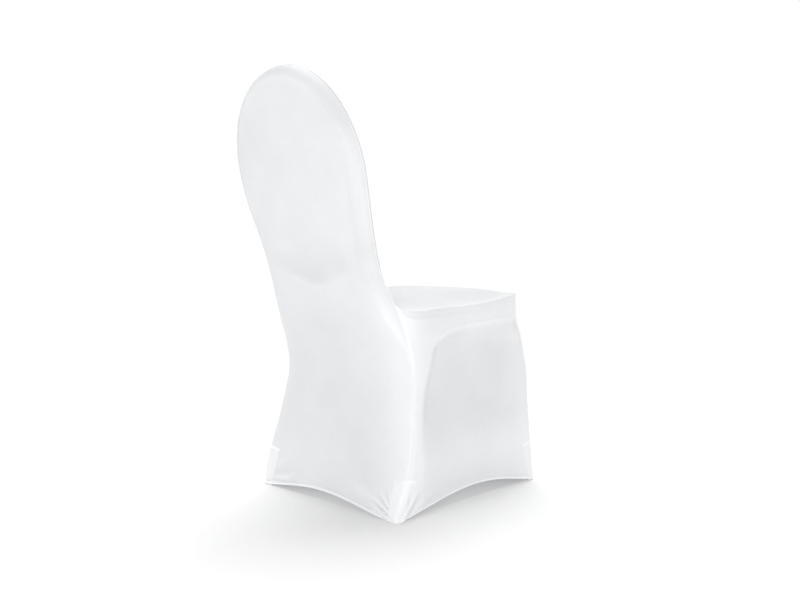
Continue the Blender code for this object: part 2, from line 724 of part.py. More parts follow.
def main():
    """Empties the scene and makes the four panels and the four foot pockets."""
    for item in list(bpy.data.objects):
        bpy.data.objects.remove(item)
    collection = bpy.data.collections.new("chair_cover")
    bpy.context.scene.collection.children.link(collection)
    cloth = cloth_material("white_stretch_cloth", WHITE_CLOTH, CLOTH_ROUGHNESS)
    doubled = cloth_material("doubled_pocket_cloth", POCKET_WHITE, POCKET_ROUGHNESS)
    skin, names = whole_skin()
    for slot, name in enumerate(names):
        piece, _foot = layer(skin, lambda code: code // CODE_STEP == slot, 0.0, -CLOTH, SEAM_TRIM)
        finish(piece, name, cloth, collection)
    for place, code in POCKETS.items():
        piece, foot = layer(skin, lambda found: found % CODE_STEP == code, GAP + POCKET_CLOTH, GAP, 0)
        close_sole(piece, foot)
        finish(piece, "foot_pocket_" + place, doubled, collection)
    skin.free()


main()
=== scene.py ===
# %% [markdown]
# # A white stretch cover for a banquet chair
#
# The cover is four cut panels of stretch knit, sewn into a skin and pulled tight over a chair
# with a rounded back. A doubled pocket at each foot holds it down. Everything here is thin
# cloth, and its shape comes from what it is stretched over.
#
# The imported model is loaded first. It fixes the sizes, and each piece of cloth below takes the
# place of one of its nodes.

# %% Load the frame
import math

import bmesh
import bpy
import numpy as np
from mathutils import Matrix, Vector, noise


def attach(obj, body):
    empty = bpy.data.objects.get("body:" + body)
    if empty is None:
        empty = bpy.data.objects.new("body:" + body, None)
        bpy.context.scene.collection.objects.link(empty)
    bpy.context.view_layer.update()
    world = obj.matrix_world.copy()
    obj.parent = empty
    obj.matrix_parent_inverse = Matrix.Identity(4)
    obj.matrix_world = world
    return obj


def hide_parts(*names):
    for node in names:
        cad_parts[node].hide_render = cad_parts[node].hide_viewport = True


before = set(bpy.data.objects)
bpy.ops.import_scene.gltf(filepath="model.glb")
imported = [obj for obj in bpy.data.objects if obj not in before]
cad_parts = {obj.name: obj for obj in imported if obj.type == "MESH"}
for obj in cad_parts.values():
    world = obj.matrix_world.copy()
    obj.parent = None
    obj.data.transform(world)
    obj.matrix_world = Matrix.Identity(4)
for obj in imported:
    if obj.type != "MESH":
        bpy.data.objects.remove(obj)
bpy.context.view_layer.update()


# %% Two helpers for putting things in the scene
def put_in_scene(name, data):
    """Makes an object of a mesh, curve, camera or lamp, and links it to the scene."""
    item = bpy.data.objects.new(name, data)
    bpy.context.scene.collection.objects.link(item)
    return item


def turned_to(way):
    """The rotation that points a camera or a lamp along a vector."""
    return way.to_track_quat("-Z", "Y").to_euler()


# %% [markdown]
# ## Camera
#
# A product photo of a chair is taken from a little above the seat with a short telephoto lens.
# A camera could be aimed at an empty with a constraint, but a place, a turn and a tilt are
# easier to read and to change one at a time. The lens comes from the picture's width and the
# focal length counted in pixels.

# %% Camera behind the cover and to its side
CAMERA_PLACE = Vector((-1.5202, 1.4755, 0.6003))
CAMERA_TURN = math.radians(-45.29)
CAMERA_TILT = math.radians(4.53)
FOCAL_PIXELS = 933.8
PICTURE_WIDTH = 800
SENSOR_WIDTH = 36.0

lens = bpy.data.cameras.new("camera")
lens.sensor_width = SENSOR_WIDTH
lens.lens = FOCAL_PIXELS / PICTURE_WIDTH * SENSOR_WIDTH
camera = put_in_scene("camera", lens)
level = math.cos(CAMERA_TILT)
sight = Vector((level * math.cos(CAMERA_TURN), level * math.sin(CAMERA_TURN),
                -math.sin(CAMERA_TILT)))
camera.location = CAMERA_PLACE
camera.rotation_euler = turned_to(sight)
bpy.context.scene.camera = camera
print("lens", round(lens.lens, 2), "mm")

# %% [markdown]
# ## The shape of the cover, as short tables
#
# Each seam of the cover runs along an edge of the chair, so the seams carry the whole shape.
# One table follows each seam with a few rows, and a smooth curve is read through the rows.
# The other way is to sculpt a mesh, but then no size could be changed later.

# %% Main sizes, in metres
# The back ends in half an ellipse. Its waisted sides run up to ARCH_SPRING, and the two side
# seams of a panel run on over the arch as far as ARCH_TURN from its top.
TOP_HEIGHT = 0.925
ARCH_SPRING = 0.715
ARCH_HALF_WIDTH = 0.190
ARCH_TURN = math.radians(45)

# The hem stands on the pockets' soles, with a little air between
POCKET_CLOTH = 0.0012
GAP = 0.0003
HEM_FLOOR = POCKET_CLOTH + GAP

# Beside an edge the cloth rounds off. ROUND and CORNER say how far in, DEPTH how deep
SEAT_EDGE_ROUND = 0.010
SEAT_EDGE_DEPTH = 0.004
LEG_ROUND = 0.0085
LEG_ROUND_DEPTH = 0.0035
CUSHION_CORNER = 0.0425
CUSHION_CORNER_DEPTH = 0.0176

# Between two legs the side cloth draws in, and the inner face of the back bows out. Its rim
# rounds off further than the seat's edge
SIDE_DRAW_IN = 0.005
FRONT_RIM_ROUND = 0.018
FRONT_RIM_DEPTH = 0.015
FRONT_CROWN = 0.008

# Each hem is an arch between two feet, which may lean towards one of them
REAR_HEM_RISE = 0.019
SIDE_HEM_RISE = 0.026
FRONT_HEM_RISE = 0.022
REAR_HEM_LEAN = 1.15
SIDE_HEM_LEAN = 0.82
HEM_SHAPE = 1.3
HEM_DRAW_IN = 0.008
HEM_REACH = 0.150
print("the arch of the back is", round(TOP_HEIGHT - ARCH_SPRING, 3), "m high")

# %% Tables of the seams
# The seam down the rim of the back and the rear leg corner. Roundness 0.5 is a quarter
# ellipse that ends square to the face, 1.0 a flatter curve that ends at half a corner.
REAR_COLUMNS = ("height", "half_width", "depth", "round_width", "round_depth", "roundness", "crown")
REAR_ROWS = (
    (0.000, 0.2170, 0.1700, 0.0085, 0.0035, 1.00, 0.000),
    (0.050, 0.2235, 0.1560, 0.0085, 0.0035, 1.00, -0.003),
    (0.080, 0.2250, 0.1455, 0.0085, 0.0035, 1.00, -0.003),
    (0.120, 0.2225, 0.1330, 0.0085, 0.0035, 1.00, -0.002),
    (0.200, 0.2120, 0.1150, 0.0085, 0.0035, 1.00, 0.002),
    (0.280, 0.2020, 0.1060, 0.0085, 0.0035, 1.00, 0.006),
    (0.340, 0.2020, 0.1160, 0.0090, 0.0045, 0.95, 0.005),
    (0.380, 0.1985, 0.1256, 0.0140, 0.0140, 0.75, 0.001),
    (0.420, 0.1895, 0.1358, 0.0200, 0.0240, 0.58, -0.003),
    (0.440, 0.1860, 0.1420, 0.0220, 0.0270, 0.52, -0.004),
    (0.500, 0.1715, 0.1670, 0.0220, 0.0280, 0.50, -0.002),
    (0.580, 0.1745, 0.1930, 0.0220, 0.0280, 0.50, 0.001),
    (0.660, 0.1865, 0.2180, 0.0220, 0.0280, 0.50, 0.003),
    (0.715, 0.1900, 0.2320, 0.0220, 0.0280, 0.50, 0.003),
    (0.800, 0.1737, 0.2530, 0.0220, 0.0280, 0.50, 0.002),
    (0.880, 0.1175, 0.2715, 0.0220, 0.0280, 0.50, 0.000),
    (0.925, 0.0000, 0.2800, 0.0220, 0.0280, 0.50, 0.000),
)

# The seam down the front leg corner. The cushion's corner above the leg is round and large.
FRONT_COLUMNS = ("height", "half_width", "depth", "round_width", "round_depth", "crown")
FRONT_ROWS = (
    (0.000, 0.2075, -0.2990, 0.0085, 0.0035, 0.000),
    (0.150, 0.2030, -0.2855, 0.0085, 0.0035, -0.004),
    (0.310, 0.1983, -0.2690, 0.0085, 0.0035, -0.003),
    (0.345, 0.1925, -0.2670, 0.0220, 0.0090, 0.004),
    (0.380, 0.1825, -0.2645, 0.0425, 0.0176, 0.014),
    (0.425, 0.1810, -0.2610, 0.0425, 0.0176, 0.017),
    (0.4445, 0.1804, -0.2602, 0.0425, 0.0080, 0.018),
)

# The seam along the side edge of the seat, from the front corner to the foot of the back
SEAT_COLUMNS = ("depth", "half_width", "height", "bow", "crown")
SEAT_ROWS = (
    (-0.2602, 0.1804, 0.4445, 0.0180, 0.0000),
    (-0.2400, 0.1925, 0.4440, 0.0220, 0.0035),
    (-0.2178, 0.1980, 0.4415, 0.0140, 0.0050),
    (-0.1430, 0.1985, 0.4320, 0.0030, 0.0130),
    (-0.0540, 0.1985, 0.4270, 0.0000, 0.0150),
    (0.0350, 0.1980, 0.4265, 0.0000, 0.0090),
    (0.0900, 0.1975, 0.4250, 0.0000, 0.0010),
    (0.1230, 0.1930, 0.4290, 0.0000, -0.0050),
    (0.1420, 0.1860, 0.4400, 0.0030, -0.0120),
)

# Heights at which the two leg seams are level with each other, floor to seat, and the
# steps along the seat edge and up the rim of the back
REAR_LEG_HEIGHTS = (HEM_FLOOR, 0.029, 0.057, 0.086, 0.125, 0.165, 0.205, 0.245, 0.285,
                    0.320, 0.345, 0.362, 0.378, 0.393, 0.408, 0.423, 0.440)
FRONT_LEG_HEIGHTS = (HEM_FLOOR, 0.031, 0.063, 0.095, 0.130, 0.165, 0.205, 0.245, 0.285,
                     0.318, 0.336, 0.354, 0.372, 0.390, 0.410, 0.428, 0.4445)
SEAT_DEPTHS = (-0.2602, -0.2420, -0.2178, -0.1700, -0.1100, -0.0500, 0.0050, 0.0420,
               0.0600, 0.0980, 0.1240, 0.1420)
RIM_HEIGHTS = (0.440, 0.456, 0.476, 0.500, 0.530, 0.565, 0.600, 0.640, 0.680, 0.715)
print(len(REAR_ROWS) + len(FRONT_ROWS) + len(SEAT_ROWS), "rows describe all the seams")

# %% [markdown]
# ## A smooth curve through a few rows
#
# Stretched cloth has no corners along a seam, so straight lines between the rows would show.
# A Bezier curve object could carry the values, but reading it by height is awkward. A cubic
# through the rows, whose slope at each row comes from its neighbours, is a few lines of code.


# %% Reading a table
class Table:
    """A table with named columns, read as a smooth curve by its first column."""

    def __init__(self, columns, rows):
        self.key = [row[0] for row in rows]
        self.columns = {}
        for index, name in enumerate(columns):
            values = [row[index] for row in rows]
            self.columns[name] = (values, list(np.gradient(values, self.key)))

    def at(self, value, name):
        """Cubic through the rows, whose slope at a row is that of its neighbours."""
        values, slopes = self.columns[name]
        row = int(np.clip(np.searchsorted(self.key, value) - 1, 0, len(self.key) - 2))
        width = self.key[row + 1] - self.key[row]
        t = min(max((value - self.key[row]) / width, 0.0), 1.0)
        start = (1 + 2 * t) * (1 - t) ** 2 * values[row] + t * (1 - t) ** 2 * width * slopes[row]
        end = t * t * (3 - 2 * t) * values[row + 1] + t * t * (t - 1) * width * slopes[row + 1]
        return start + end


REAR = Table(REAR_COLUMNS, REAR_ROWS)
FRONT = Table(FRONT_COLUMNS, FRONT_ROWS)
SEAT = Table(SEAT_COLUMNS, SEAT_ROWS)


def smoothstep(low, high, value):
    """From 0 at low to 1 at high along a soft S, and level beyond them."""
    share = min(max((value - low) / (high - low), 0.0), 1.0)
    return share * share * (3 - 2 * share)


def mix(start, end, share):
    """A value or a vector part of the way from start to end."""
    return start * (1 - share) + end * share


def finer(values, parts):
    """A list of values with more steps between them, on a smooth curve through the old ones."""
    curve = Table(("step", "value"), list(enumerate(values)))
    fine = [values[0]]
    for index in range(len(values) - 1):
        count = parts[index]
        fine += [curve.at(index + (step + 1) / count, "value") for step in range(count)]
    return fine


SMALL_OF_BACK = 0.6
print("the rim is", round(2 * REAR.at(SMALL_OF_BACK, "half_width"), 3),
      "m wide at the small of the back")

# %% [markdown]
# ## Seams
#
# Beside a seam the cloth turns round the chair's edge before it runs flat. So a seam here is
# a row of stations: a point on the edge, and how the cloth rounds away from it on one side.
# Two panels that meet on a seam read the same points, which keeps them joined without a weld.


# %% A station
class Station:
    """A point on a seam, with the cloth's rounding beside it."""

    def __init__(self, point, reach, bulge, roundness, crown=Vector((0, 0, 0))):
        self.point = point
        self.reach = reach
        self.bulge = bulge
        self.roundness = roundness
        self.crown = crown

    def across(self, share):
        """The cloth's place at a share of the rounding's width, in from the seam."""
        lift = (1 - (1 - share) ** 2) ** self.roundness
        return self.point + self.reach * share + self.bulge * lift

    def mirrored(self):
        flip = Vector((-1, 1, 1))
        return Station(self.point * flip, self.reach * flip, self.bulge * flip,
                       self.roundness, self.crown * flip)

    def towards(self, other, share, point):
        """A station between this one and another, whose own point is known."""
        return Station(point, self.reach.lerp(other.reach, share),
                       self.bulge.lerp(other.bulge, share),
                       mix(self.roundness, other.roundness, share),
                       self.crown.lerp(other.crown, share))


quarter_round = Station(Vector((0, 0, 0)), Vector((1, 0, 0)), Vector((0, 1, 0)), 0.5)
print("halfway over a quarter round the cloth has risen", round(quarter_round.across(0.5).y, 3))


# %% Points on the seams, and the lean of the back
def back_lean(height):
    """Unit vectors up the leaning face and out of its rear."""
    step = 0.01
    low = max(height - step, 0.0)
    high = min(height + step, TOP_HEIGHT)
    rise = REAR.at(high, "depth") - REAR.at(low, "depth")
    up = Vector((0, rise, high - low)).normalized()
    return up, Vector((0, up.z, -up.y))


def rear_seam_point(height):
    return Vector((-REAR.at(height, "half_width"), REAR.at(height, "depth"), height))


def front_seam_point(height):
    return Vector((-FRONT.at(height, "half_width"), FRONT.at(height, "depth"), height))


def seat_seam_point(depth):
    return Vector((-SEAT.at(depth, "half_width"), depth, SEAT.at(depth, "height")))


def arch_place(turn):
    """A point on the arch of the back and the way in from it, turn 0 at its top."""
    half_height = TOP_HEIGHT - ARCH_SPRING
    height = ARCH_SPRING + half_height * math.cos(turn)
    point = Vector((ARCH_HALF_WIDTH * math.sin(turn), REAR.at(height, "depth"), height))
    up, outward = back_lean(height)
    side = Vector((-math.sin(turn) * half_height, 0, 0)) - up * (math.cos(turn) * ARCH_HALF_WIDTH)
    return point, side.normalized(), outward


print("the arch's top stands at", round(arch_place(0.0)[0].z, 3), "m")


# %% Edges along the rim of the back
def rear_station(height):
    """The back panel's edge on the rim of the back or the rear leg."""
    _up, outward = back_lean(max(height, 0.36))
    outward = mix(Vector((0, 1, 0)), outward, smoothstep(0.30, 0.42, height)).normalized()
    return Station(rear_seam_point(height), Vector((REAR.at(height, "round_width"), 0, 0)),
                   outward * REAR.at(height, "round_depth"), REAR.at(height, "roundness"),
                   Vector((0, REAR.at(height, "crown"), 0)))


def arch_station(turn, sign):
    """An edge on the arch, sign +1 for the rear panel and -1 for the front one."""
    point, inward, outward = arch_place(turn)
    if sign > 0:
        return Station(point, inward * REAR.at(point.z, "round_width"),
                       outward * REAR.at(point.z, "round_depth"), REAR.at(point.z, "roundness"),
                       Vector((0, REAR.at(point.z, "crown"), 0)))
    return Station(point, inward * FRONT_RIM_ROUND, outward * -FRONT_RIM_DEPTH, 0.5,
                   Vector((0, -FRONT_CROWN, 0)))


def front_rim_station(height):
    """The front panel's edge on the rim of the back, flat where it meets the seat."""
    _up, outward = back_lean(height)
    full = smoothstep(0.43, 0.54, height)
    crown = Vector((0, -FRONT_CROWN * full, -0.012 * (1 - full) ** 3))
    return Station(rear_seam_point(height), Vector((FRONT_RIM_ROUND, 0, 0)),
                   outward * (-FRONT_RIM_DEPTH * full), 0.5, crown)


print("the rim turns forward by", round(rear_station(0.6).bulge.length, 3), "m")


# %% Edges of the seat, the legs and the sides
def seat_station(depth):
    """The front panel's edge along the side of the seat."""
    near_front = smoothstep(-0.21, -0.26, depth)
    bulge = Vector((0, -0.008 * near_front, SEAT_EDGE_DEPTH * (1 - near_front)))
    width = mix(SEAT_EDGE_ROUND, CUSHION_CORNER, near_front)
    return Station(seat_seam_point(depth), Vector((width, 0, 0)), bulge, 1.0,
                   Vector((0, -SEAT.at(depth, "bow"), SEAT.at(depth, "crown"))))


def front_station(height):
    """The front panel's edge down the front leg."""
    return Station(front_seam_point(height), Vector((FRONT.at(height, "round_width"), 0, 0)),
                   Vector((0, -FRONT.at(height, "round_depth"), 0)), 1.0,
                   Vector((0, -FRONT.at(height, "crown"), 0)))


def side_rear_station(height):
    """The side panel's edge on the rear leg, or on the foot of the back's rim."""
    depth = mix(LEG_ROUND_DEPTH, 0.006, smoothstep(0.34, 0.42, height))
    crown = Vector((SIDE_DRAW_IN * (1 - smoothstep(0.30, 0.38, height)), 0, 0))
    return Station(rear_seam_point(height), Vector((0, -LEG_ROUND, 0)),
                   Vector((-depth, 0, 0)), 1.0, crown)


def side_front_station(height):
    """The side panel's edge on the front leg. The cushion's corner turns further in."""
    depth = mix(LEG_ROUND_DEPTH, CUSHION_CORNER_DEPTH, smoothstep(0.33, 0.38, height))
    crown = Vector((SIDE_DRAW_IN * (1 - smoothstep(0.30, 0.38, height)), 0, 0))
    return Station(front_seam_point(height), Vector((0, FRONT.at(height, "round_width"), 0)),
                   Vector((-depth, 0, 0)), 1.0, crown)


def side_top_station(depth):
    """The side panel's edge under the side of the seat, mitred into the corners at its ends."""
    near_front = smoothstep(-0.150, -0.2602, depth)
    near_rear = smoothstep(0.100, 0.142, depth)
    reach = Vector((0, CUSHION_CORNER * near_front - LEG_ROUND * near_rear, -SEAT_EDGE_ROUND))
    corner_depth, straight_depth = SEAT_DEPTHS[0], SEAT_DEPTHS[2]
    turn = smoothstep(straight_depth, corner_depth, depth)
    straight = SEAT.at(max(depth, straight_depth), "half_width") + SEAT_EDGE_DEPTH
    corner = SEAT.at(corner_depth, "half_width") + CUSHION_CORNER_DEPTH
    bulge = Vector((SEAT.at(depth, "half_width") - mix(straight, corner, turn), 0, 0))
    return Station(seat_seam_point(depth), reach, bulge, 1.0)


print("the cushion's corner rounds in by", side_top_station(SEAT_DEPTHS[0]).reach.y, "m")

# %% [markdown]
# ## Rows along the seams
#
# The rows of the cloth are the stations of its seams. Equal steps would waste faces on the
# plain parts. The hem needs rows a millimetre apart for its fold and its stitch lines, the
# foot pockets need two millimetres for their creases, and the rest three to five.

# %% Rows of stations
HEM_STEPS_MM = (0, 0.8, 1.7, 2.8, 4.2, 6.0, 7.6, 8.8, 9.7, 10.5, 11.3, 12.1, 12.9, 13.8, 15.2,
                17.0, 19.2, 21.6, 24.0, 27.5)
LEG_PARTS = (1, 13, 14, 12, 8, 8, 8, 8, 8, 6, 5, 5, 5, 5, 5, 6)
SEAT_PARTS = (9, 9, 9, 9, 9, 9, 9, 9, 9, 9, 9)
RIM_PARTS = (6, 6, 6, 6, 7, 7, 8, 8, 7)
ARCH_ROWS = 30
TOP_COLUMNS = 96
ROUND_STEPS = 10
ROUND_SHARES = [(step / ROUND_STEPS) ** 2 for step in range(ROUND_STEPS + 1)]


def leg_heights(heights):
    """A leg seam's heights, with the hem's own rows in place of its first step."""
    first_step = heights[1] - heights[0]
    hem = [heights[0] + step / HEM_STEPS_MM[-1] * first_step for step in HEM_STEPS_MM]
    return hem[:-1] + finer(heights, LEG_PARTS)[1:]


def run_into(rail, heights, station, end, point):
    """Lets the last stretch of a rail run smoothly into the station at its end."""
    last_regular = heights[-2]
    start = station(last_regular)
    made = []
    for height in rail:
        if height <= last_regular:
            made.append(station(height))
        else:
            share = (height - last_regular) / (heights[-1] - last_regular)
            made.append(start.towards(end, share, point(height)))
    return made


rear_heights = leg_heights(REAR_LEG_HEIGHTS)
front_heights = leg_heights(FRONT_LEG_HEIGHTS)
seat_depths = finer(SEAT_DEPTHS, SEAT_PARTS)
rim_heights = finer(RIM_HEIGHTS, RIM_PARTS)
rim_turns = [mix(math.pi / 2, ARCH_TURN, (step + 1) / ARCH_ROWS) for step in range(ARCH_ROWS)]
print(len(rear_heights), "rows from the hem to the seat")

# %% [markdown]
# ## Listed folds
#
# A tight cover has few folds, and they all start where the cloth is held: they fan out from
# each foot pocket, and lie along the hem. Cloth simulation could make them, but a stretch
# cover is under tension everywhere, and a solver would need the exact cut to land on the
# same folds. Each fold is instead one row of a small table: a soft ridge or trough from one
# spot of the panel to another, given by the distance in from the leg seam and the height.

# %% Fold tables, in millimetres, from the foot outwards
# A row holds: start in from the seam, start height, end in, end height, width, rise
NEAR_FOOT_REAR = (
    (27, 8, 98, 31, 3.4, 3.2),
    (29, 19, 92, 47, 3.2, 2.9),
    (30, 28, 76, 60, 2.9, 2.3),
    (26, 34, 46, 66, 2.6, 1.5),
    (26, 2, 90, 20, 3.4, -3.6),
    (29, 14, 84, 38, 2.5, -2.8),
    (31, 25, 74, 52, 2.3, -2.2),
    (30, 34, 58, 66, 2.3, -1.6),
    (80, 36, 190, 64, 12.0, 0.9),
)
NEAR_FOOT_SIDE = (
    (8, 2, 40, 72, 5.6, 3.0),
    (34, 8, 74, 26, 4.6, 1.2),
    (24, 12, 5, 74, 2.4, -2.0),
    (30, 4, 58, 66, 4.2, -2.2),
    (46, 20, 120, 60, 9.0, 0.8),
)
FAR_FOOT_REAR = (
    (10, 10, 150, 31, 4.2, -1.1),
    (30, 20, 124, 42, 4.6, 1.3),
    (34, 33, 110, 55, 3.4, -0.7),
    (30, 46, 70, 70, 5.0, 0.7),
)
FAR_FOOT_SIDE = (
    (22, 12, 62, 56, 4.4, 1.3),
    (34, 2, 96, 24, 4.6, -1.6),
    (36, 10, 110, 34, 5.0, 1.2),
    (18, 34, 34, 70, 3.2, 0.9),
)
FRONT_FOOT_FRONT = (
    (24, 8, 96, 34, 4.6, 1.5),
    (30, -2, 120, 20, 4.4, -1.7),
    (26, 24, 60, 58, 3.6, 1.0),
)
FRONT_FOOT_SIDE = (
    (14, 10, 90, 21, 3.6, 1.0),
    (20, 2, 120, 15, 3.4, -1.1),
    (22, 20, 60, 44, 4.6, 0.5),
)
FOLD_SAG = 0.035
print(len(NEAR_FOOT_REAR) + len(NEAR_FOOT_SIDE), "folds meet at the near foot")


# %% Height of the folds at a spot

def bell(distance, width):
    """A soft bump that is 1 at no distance and fades over about the width."""
    return math.exp(-(distance / width) ** 2)


def fold_rise(rows, inwards, height):
    """Height of the soft folds of one table at a spot of the panel."""
    total = 0.0
    for start_in, start_height, end_in, end_height, width, rise in rows:
        run_in = end_in - start_in
        run_up = end_height - start_height
        length = math.hypot(run_in, run_up)
        off_in = inwards * 1000 - start_in
        off_up = height * 1000 - start_height
        share = (off_in * run_in + off_up * run_up) / length ** 2
        if not -0.15 < share < 1.0:
            continue
        aside = (off_up * run_in - off_in * run_up) / length
        aside += FOLD_SAG * length * math.sin(math.pi * min(max(share, 0.0), 1.0))
        spread = width * (0.7 + 0.7 * max(share, 0.0))
        taper = smoothstep(-0.15, 0.12, share) * (1 - smoothstep(0.35, 1.0, share))
        total += rise / 1000 * bell(aside, spread) * taper
    return total


beside_foot = fold_rise(NEAR_FOOT_REAR, 0.050, 0.012)
print("beside the near foot a fold stands", round(beside_foot * 1000, 2), "mm off the cloth")

# %% [markdown]
# ## One cut panel
#
# A panel is a grid that is bent into place. Its columns run between two side seams, its rows
# follow those seams up from the hem, and its upper edge is a third seam. That is how the cloth
# itself lies: the knit's columns stay upright and its rows run round the chair. A lofted
# surface would do, but a grid made by one operator keeps its UVs, which the knit needs.
#
# White cloth is never one white. It is a little brighter over the frame and on a doubled hem,
# and greyer where light passes through it into the dark. On top of that, light and shade are
# painted in: painted highlights along the rims, beside the legs, on the seat's edge and on the
# hem's edge, painted light on the ridges of folds and painted shade in their troughs, and
# painted shade in a few places. An image could be painted for that. Here each vertex gets one
# number instead, its whiteness, from rules that follow the form, and the material turns the
# number into a colour.

# %% Fine heights of the cloth, in metres
HEM_DEPTH = 0.0135
HEM_STITCH_LINES = (0.0100, 0.0126)
STITCH_SINK = 0.00025
STITCH_SINK_WIDTH = 0.0009
HEM_ROLL = 0.0025
HEM_ROLL_HEIGHT = 0.0028
HEM_ROLL_WIDTH = 0.0022
PUCKER_RISE = 0.00028
PUCKER_PITCH = 0.0125
PUCKER_REACH = 0.012
SLACK_RISE = 0.0008
SLACK_SIZE = 0.085
EDGE_KEEP = 0.005
print("the hem is", HEM_DEPTH * 1000, "mm deep, with", len(HEM_STITCH_LINES), "stitch lines")

# %% Whiteness of the cloth
# The material is grey at -1 and fully white at a little over 1. EDGE_LIFTS are the heights
# above the hem's edge between which the painted highlight along its edge fades.
PLAIN_WHITE = 0.16
HEM_WHITE = 0.05
EDGE_WHITE = 1.30
EDGE_LIFTS = (0.0025, 0.0062)
# Fold ridges get painted light and fold troughs painted shade, so much per metre of rise
FOLD_WHITE = 230.0
print("a millimetre of fold adds", round(FOLD_WHITE / 1000, 2), "of whiteness")


# %% The panel class
class Panel:
    """One cut panel: two side seams that rise from its hem, and the seam between their tops."""

    def __init__(self, name, first, top, second, hem, outward, axis, top_reach, folds):
        self.name = name
        self.first = first
        self.top = top
        self.second = second
        self.hem_rise, self.hem_lean = hem
        self.outward = outward
        self.axis = axis
        self.top_reach = top_reach
        self.first_folds, self.second_folds = folds
        self.rows = len(first) - 1
        self.columns = len(top) - 1
        places = [station.across(1.0)[axis] for station in top]
        self.shares = [(place - places[0]) / (places[-1] - places[0]) for place in places]

    def shape(self, point):
        """What shows through the cloth, added to a point of the panel."""
        return Vector((0, 0, 0))

    def core(self, row, share, column=None):
        """A point of the panel between the roundings beside its seams."""
        if row == self.rows:
            return self.top[column].across(1.0)
        left = self.first[row].across(1.0)
        right = self.second[row].across(1.0)
        point = left.lerp(right, share)
        low, high = self.top_reach
        weight = smoothstep(low, high, self.first[row].point.z)
        if weight:
            ends = self.top[0].across(1.0).lerp(self.top[-1].across(1.0), share)
            point += (self.top[column].across(1.0) - ends) * weight
        arch = max(math.sin(math.pi * share ** self.hem_lean), 0.0)
        pull = Vector((0, 0, self.hem_rise * arch ** HEM_SHAPE))
        pull -= self.outward * (HEM_DRAW_IN * arch)
        point += pull * (1 - smoothstep(0.0, HEM_REACH, self.first[row].point.z))
        crown = self.first[row].crown.lerp(self.second[row].crown, share)
        point += crown * (1 - abs(2 * share - 1) ** 2.5) * (1 - weight ** 3)
        return point + self.shape(point)

    def place(self, column, row):
        """A point of the whole grid, roundings included."""
        if row > self.rows:
            station = self.top[min(max(column - ROUND_STEPS, 0), self.columns)]
            return station.across(ROUND_SHARES[ROUND_STEPS + self.rows - row])
        if column < ROUND_STEPS:
            return self.first[row].across(ROUND_SHARES[column])
        if column > ROUND_STEPS + self.columns:
            return self.second[row].across(ROUND_SHARES[2 * ROUND_STEPS + self.columns - column])
        middle = column - ROUND_STEPS
        if row < self.rows and middle in (0, self.columns):
            rail = self.second if middle else self.first
            return rail[row].across(1.0)
        return self.core(row, self.shares[middle], middle)

    def seam_distances(self, point, row):
        """Distances across the panel to its two side seams."""
        row = min(row, self.rows)
        first = abs(point[self.axis] - self.first[row].point[self.axis])
        second = abs(point[self.axis] - self.second[row].point[self.axis])
        return first, second

    def hem_lift(self, row):
        """Height of a row above the hem's edge, counted along the seam."""
        return self.first[min(row, self.rows)].point.z - HEM_FLOOR

    def folds(self, first, second, height):
        """Height of the folds that start at both of the panel's feet."""
        return (fold_rise(self.first_folds, first, height)
                + fold_rise(self.second_folds, second, height))

    def backing(self, point, first, second):
        """How white the cloth looks for what is behind it, plus the panel's painted light and
        shade.
        """
        return PLAIN_WHITE

    def whiteness(self, point, row):
        """The backing with its painted light and shade, the doubled hem, a painted highlight on
        the hem's edge, and painted light on the folds' ridges and painted shade in their troughs.
        """
        first, second = self.seam_distances(point, row)
        lift = self.hem_lift(row)
        value = self.backing(point, first, second)
        value += HEM_WHITE * (1 - smoothstep(HEM_DEPTH - 0.002, HEM_DEPTH, lift))
        # a painted highlight along the hem's lower edge
        value += EDGE_WHITE * (1 - smoothstep(*EDGE_LIFTS, lift))
        # painted light on the ridges of the folds and painted shade in their troughs
        return value + FOLD_WHITE * self.folds(first, second, point.z)

    def relief(self, point, row):
        """Fine height of the cloth at a point: folds, hem, puckers and slack."""
        first, second = self.seam_distances(point, row)
        nearest = min(first, second)
        lift = self.hem_lift(row)
        rise = self.folds(first, second, point.z)
        for line in HEM_STITCH_LINES:
            rise -= STITCH_SINK * bell(lift - line, STITCH_SINK_WIDTH)
        rise += HEM_ROLL * bell(lift - HEM_ROLL_HEIGHT, HEM_ROLL_WIDTH)
        uneven = 2.2 * math.sin(9 * point.z / PUCKER_REACH)
        pucker = math.sin(2 * math.pi * point.z / PUCKER_PITCH + uneven)
        rise += PUCKER_RISE * pucker * math.exp(-nearest / PUCKER_REACH)
        rise += SLACK_RISE * noise.noise(point / SLACK_SIZE) * smoothstep(0.01, 0.05, nearest)
        return rise * smoothstep(0.0, EDGE_KEEP, nearest)


# %% [markdown]
# ## The padded back
#
# The chair's back is padded down to a little above the seat, and the pad's lower edge shows
# through the tight cloth as a faint arc. It could be a crease cut into the mesh. A soft step
# of a few millimetres that fades out above its edge looks the same, and keeps the grid even.


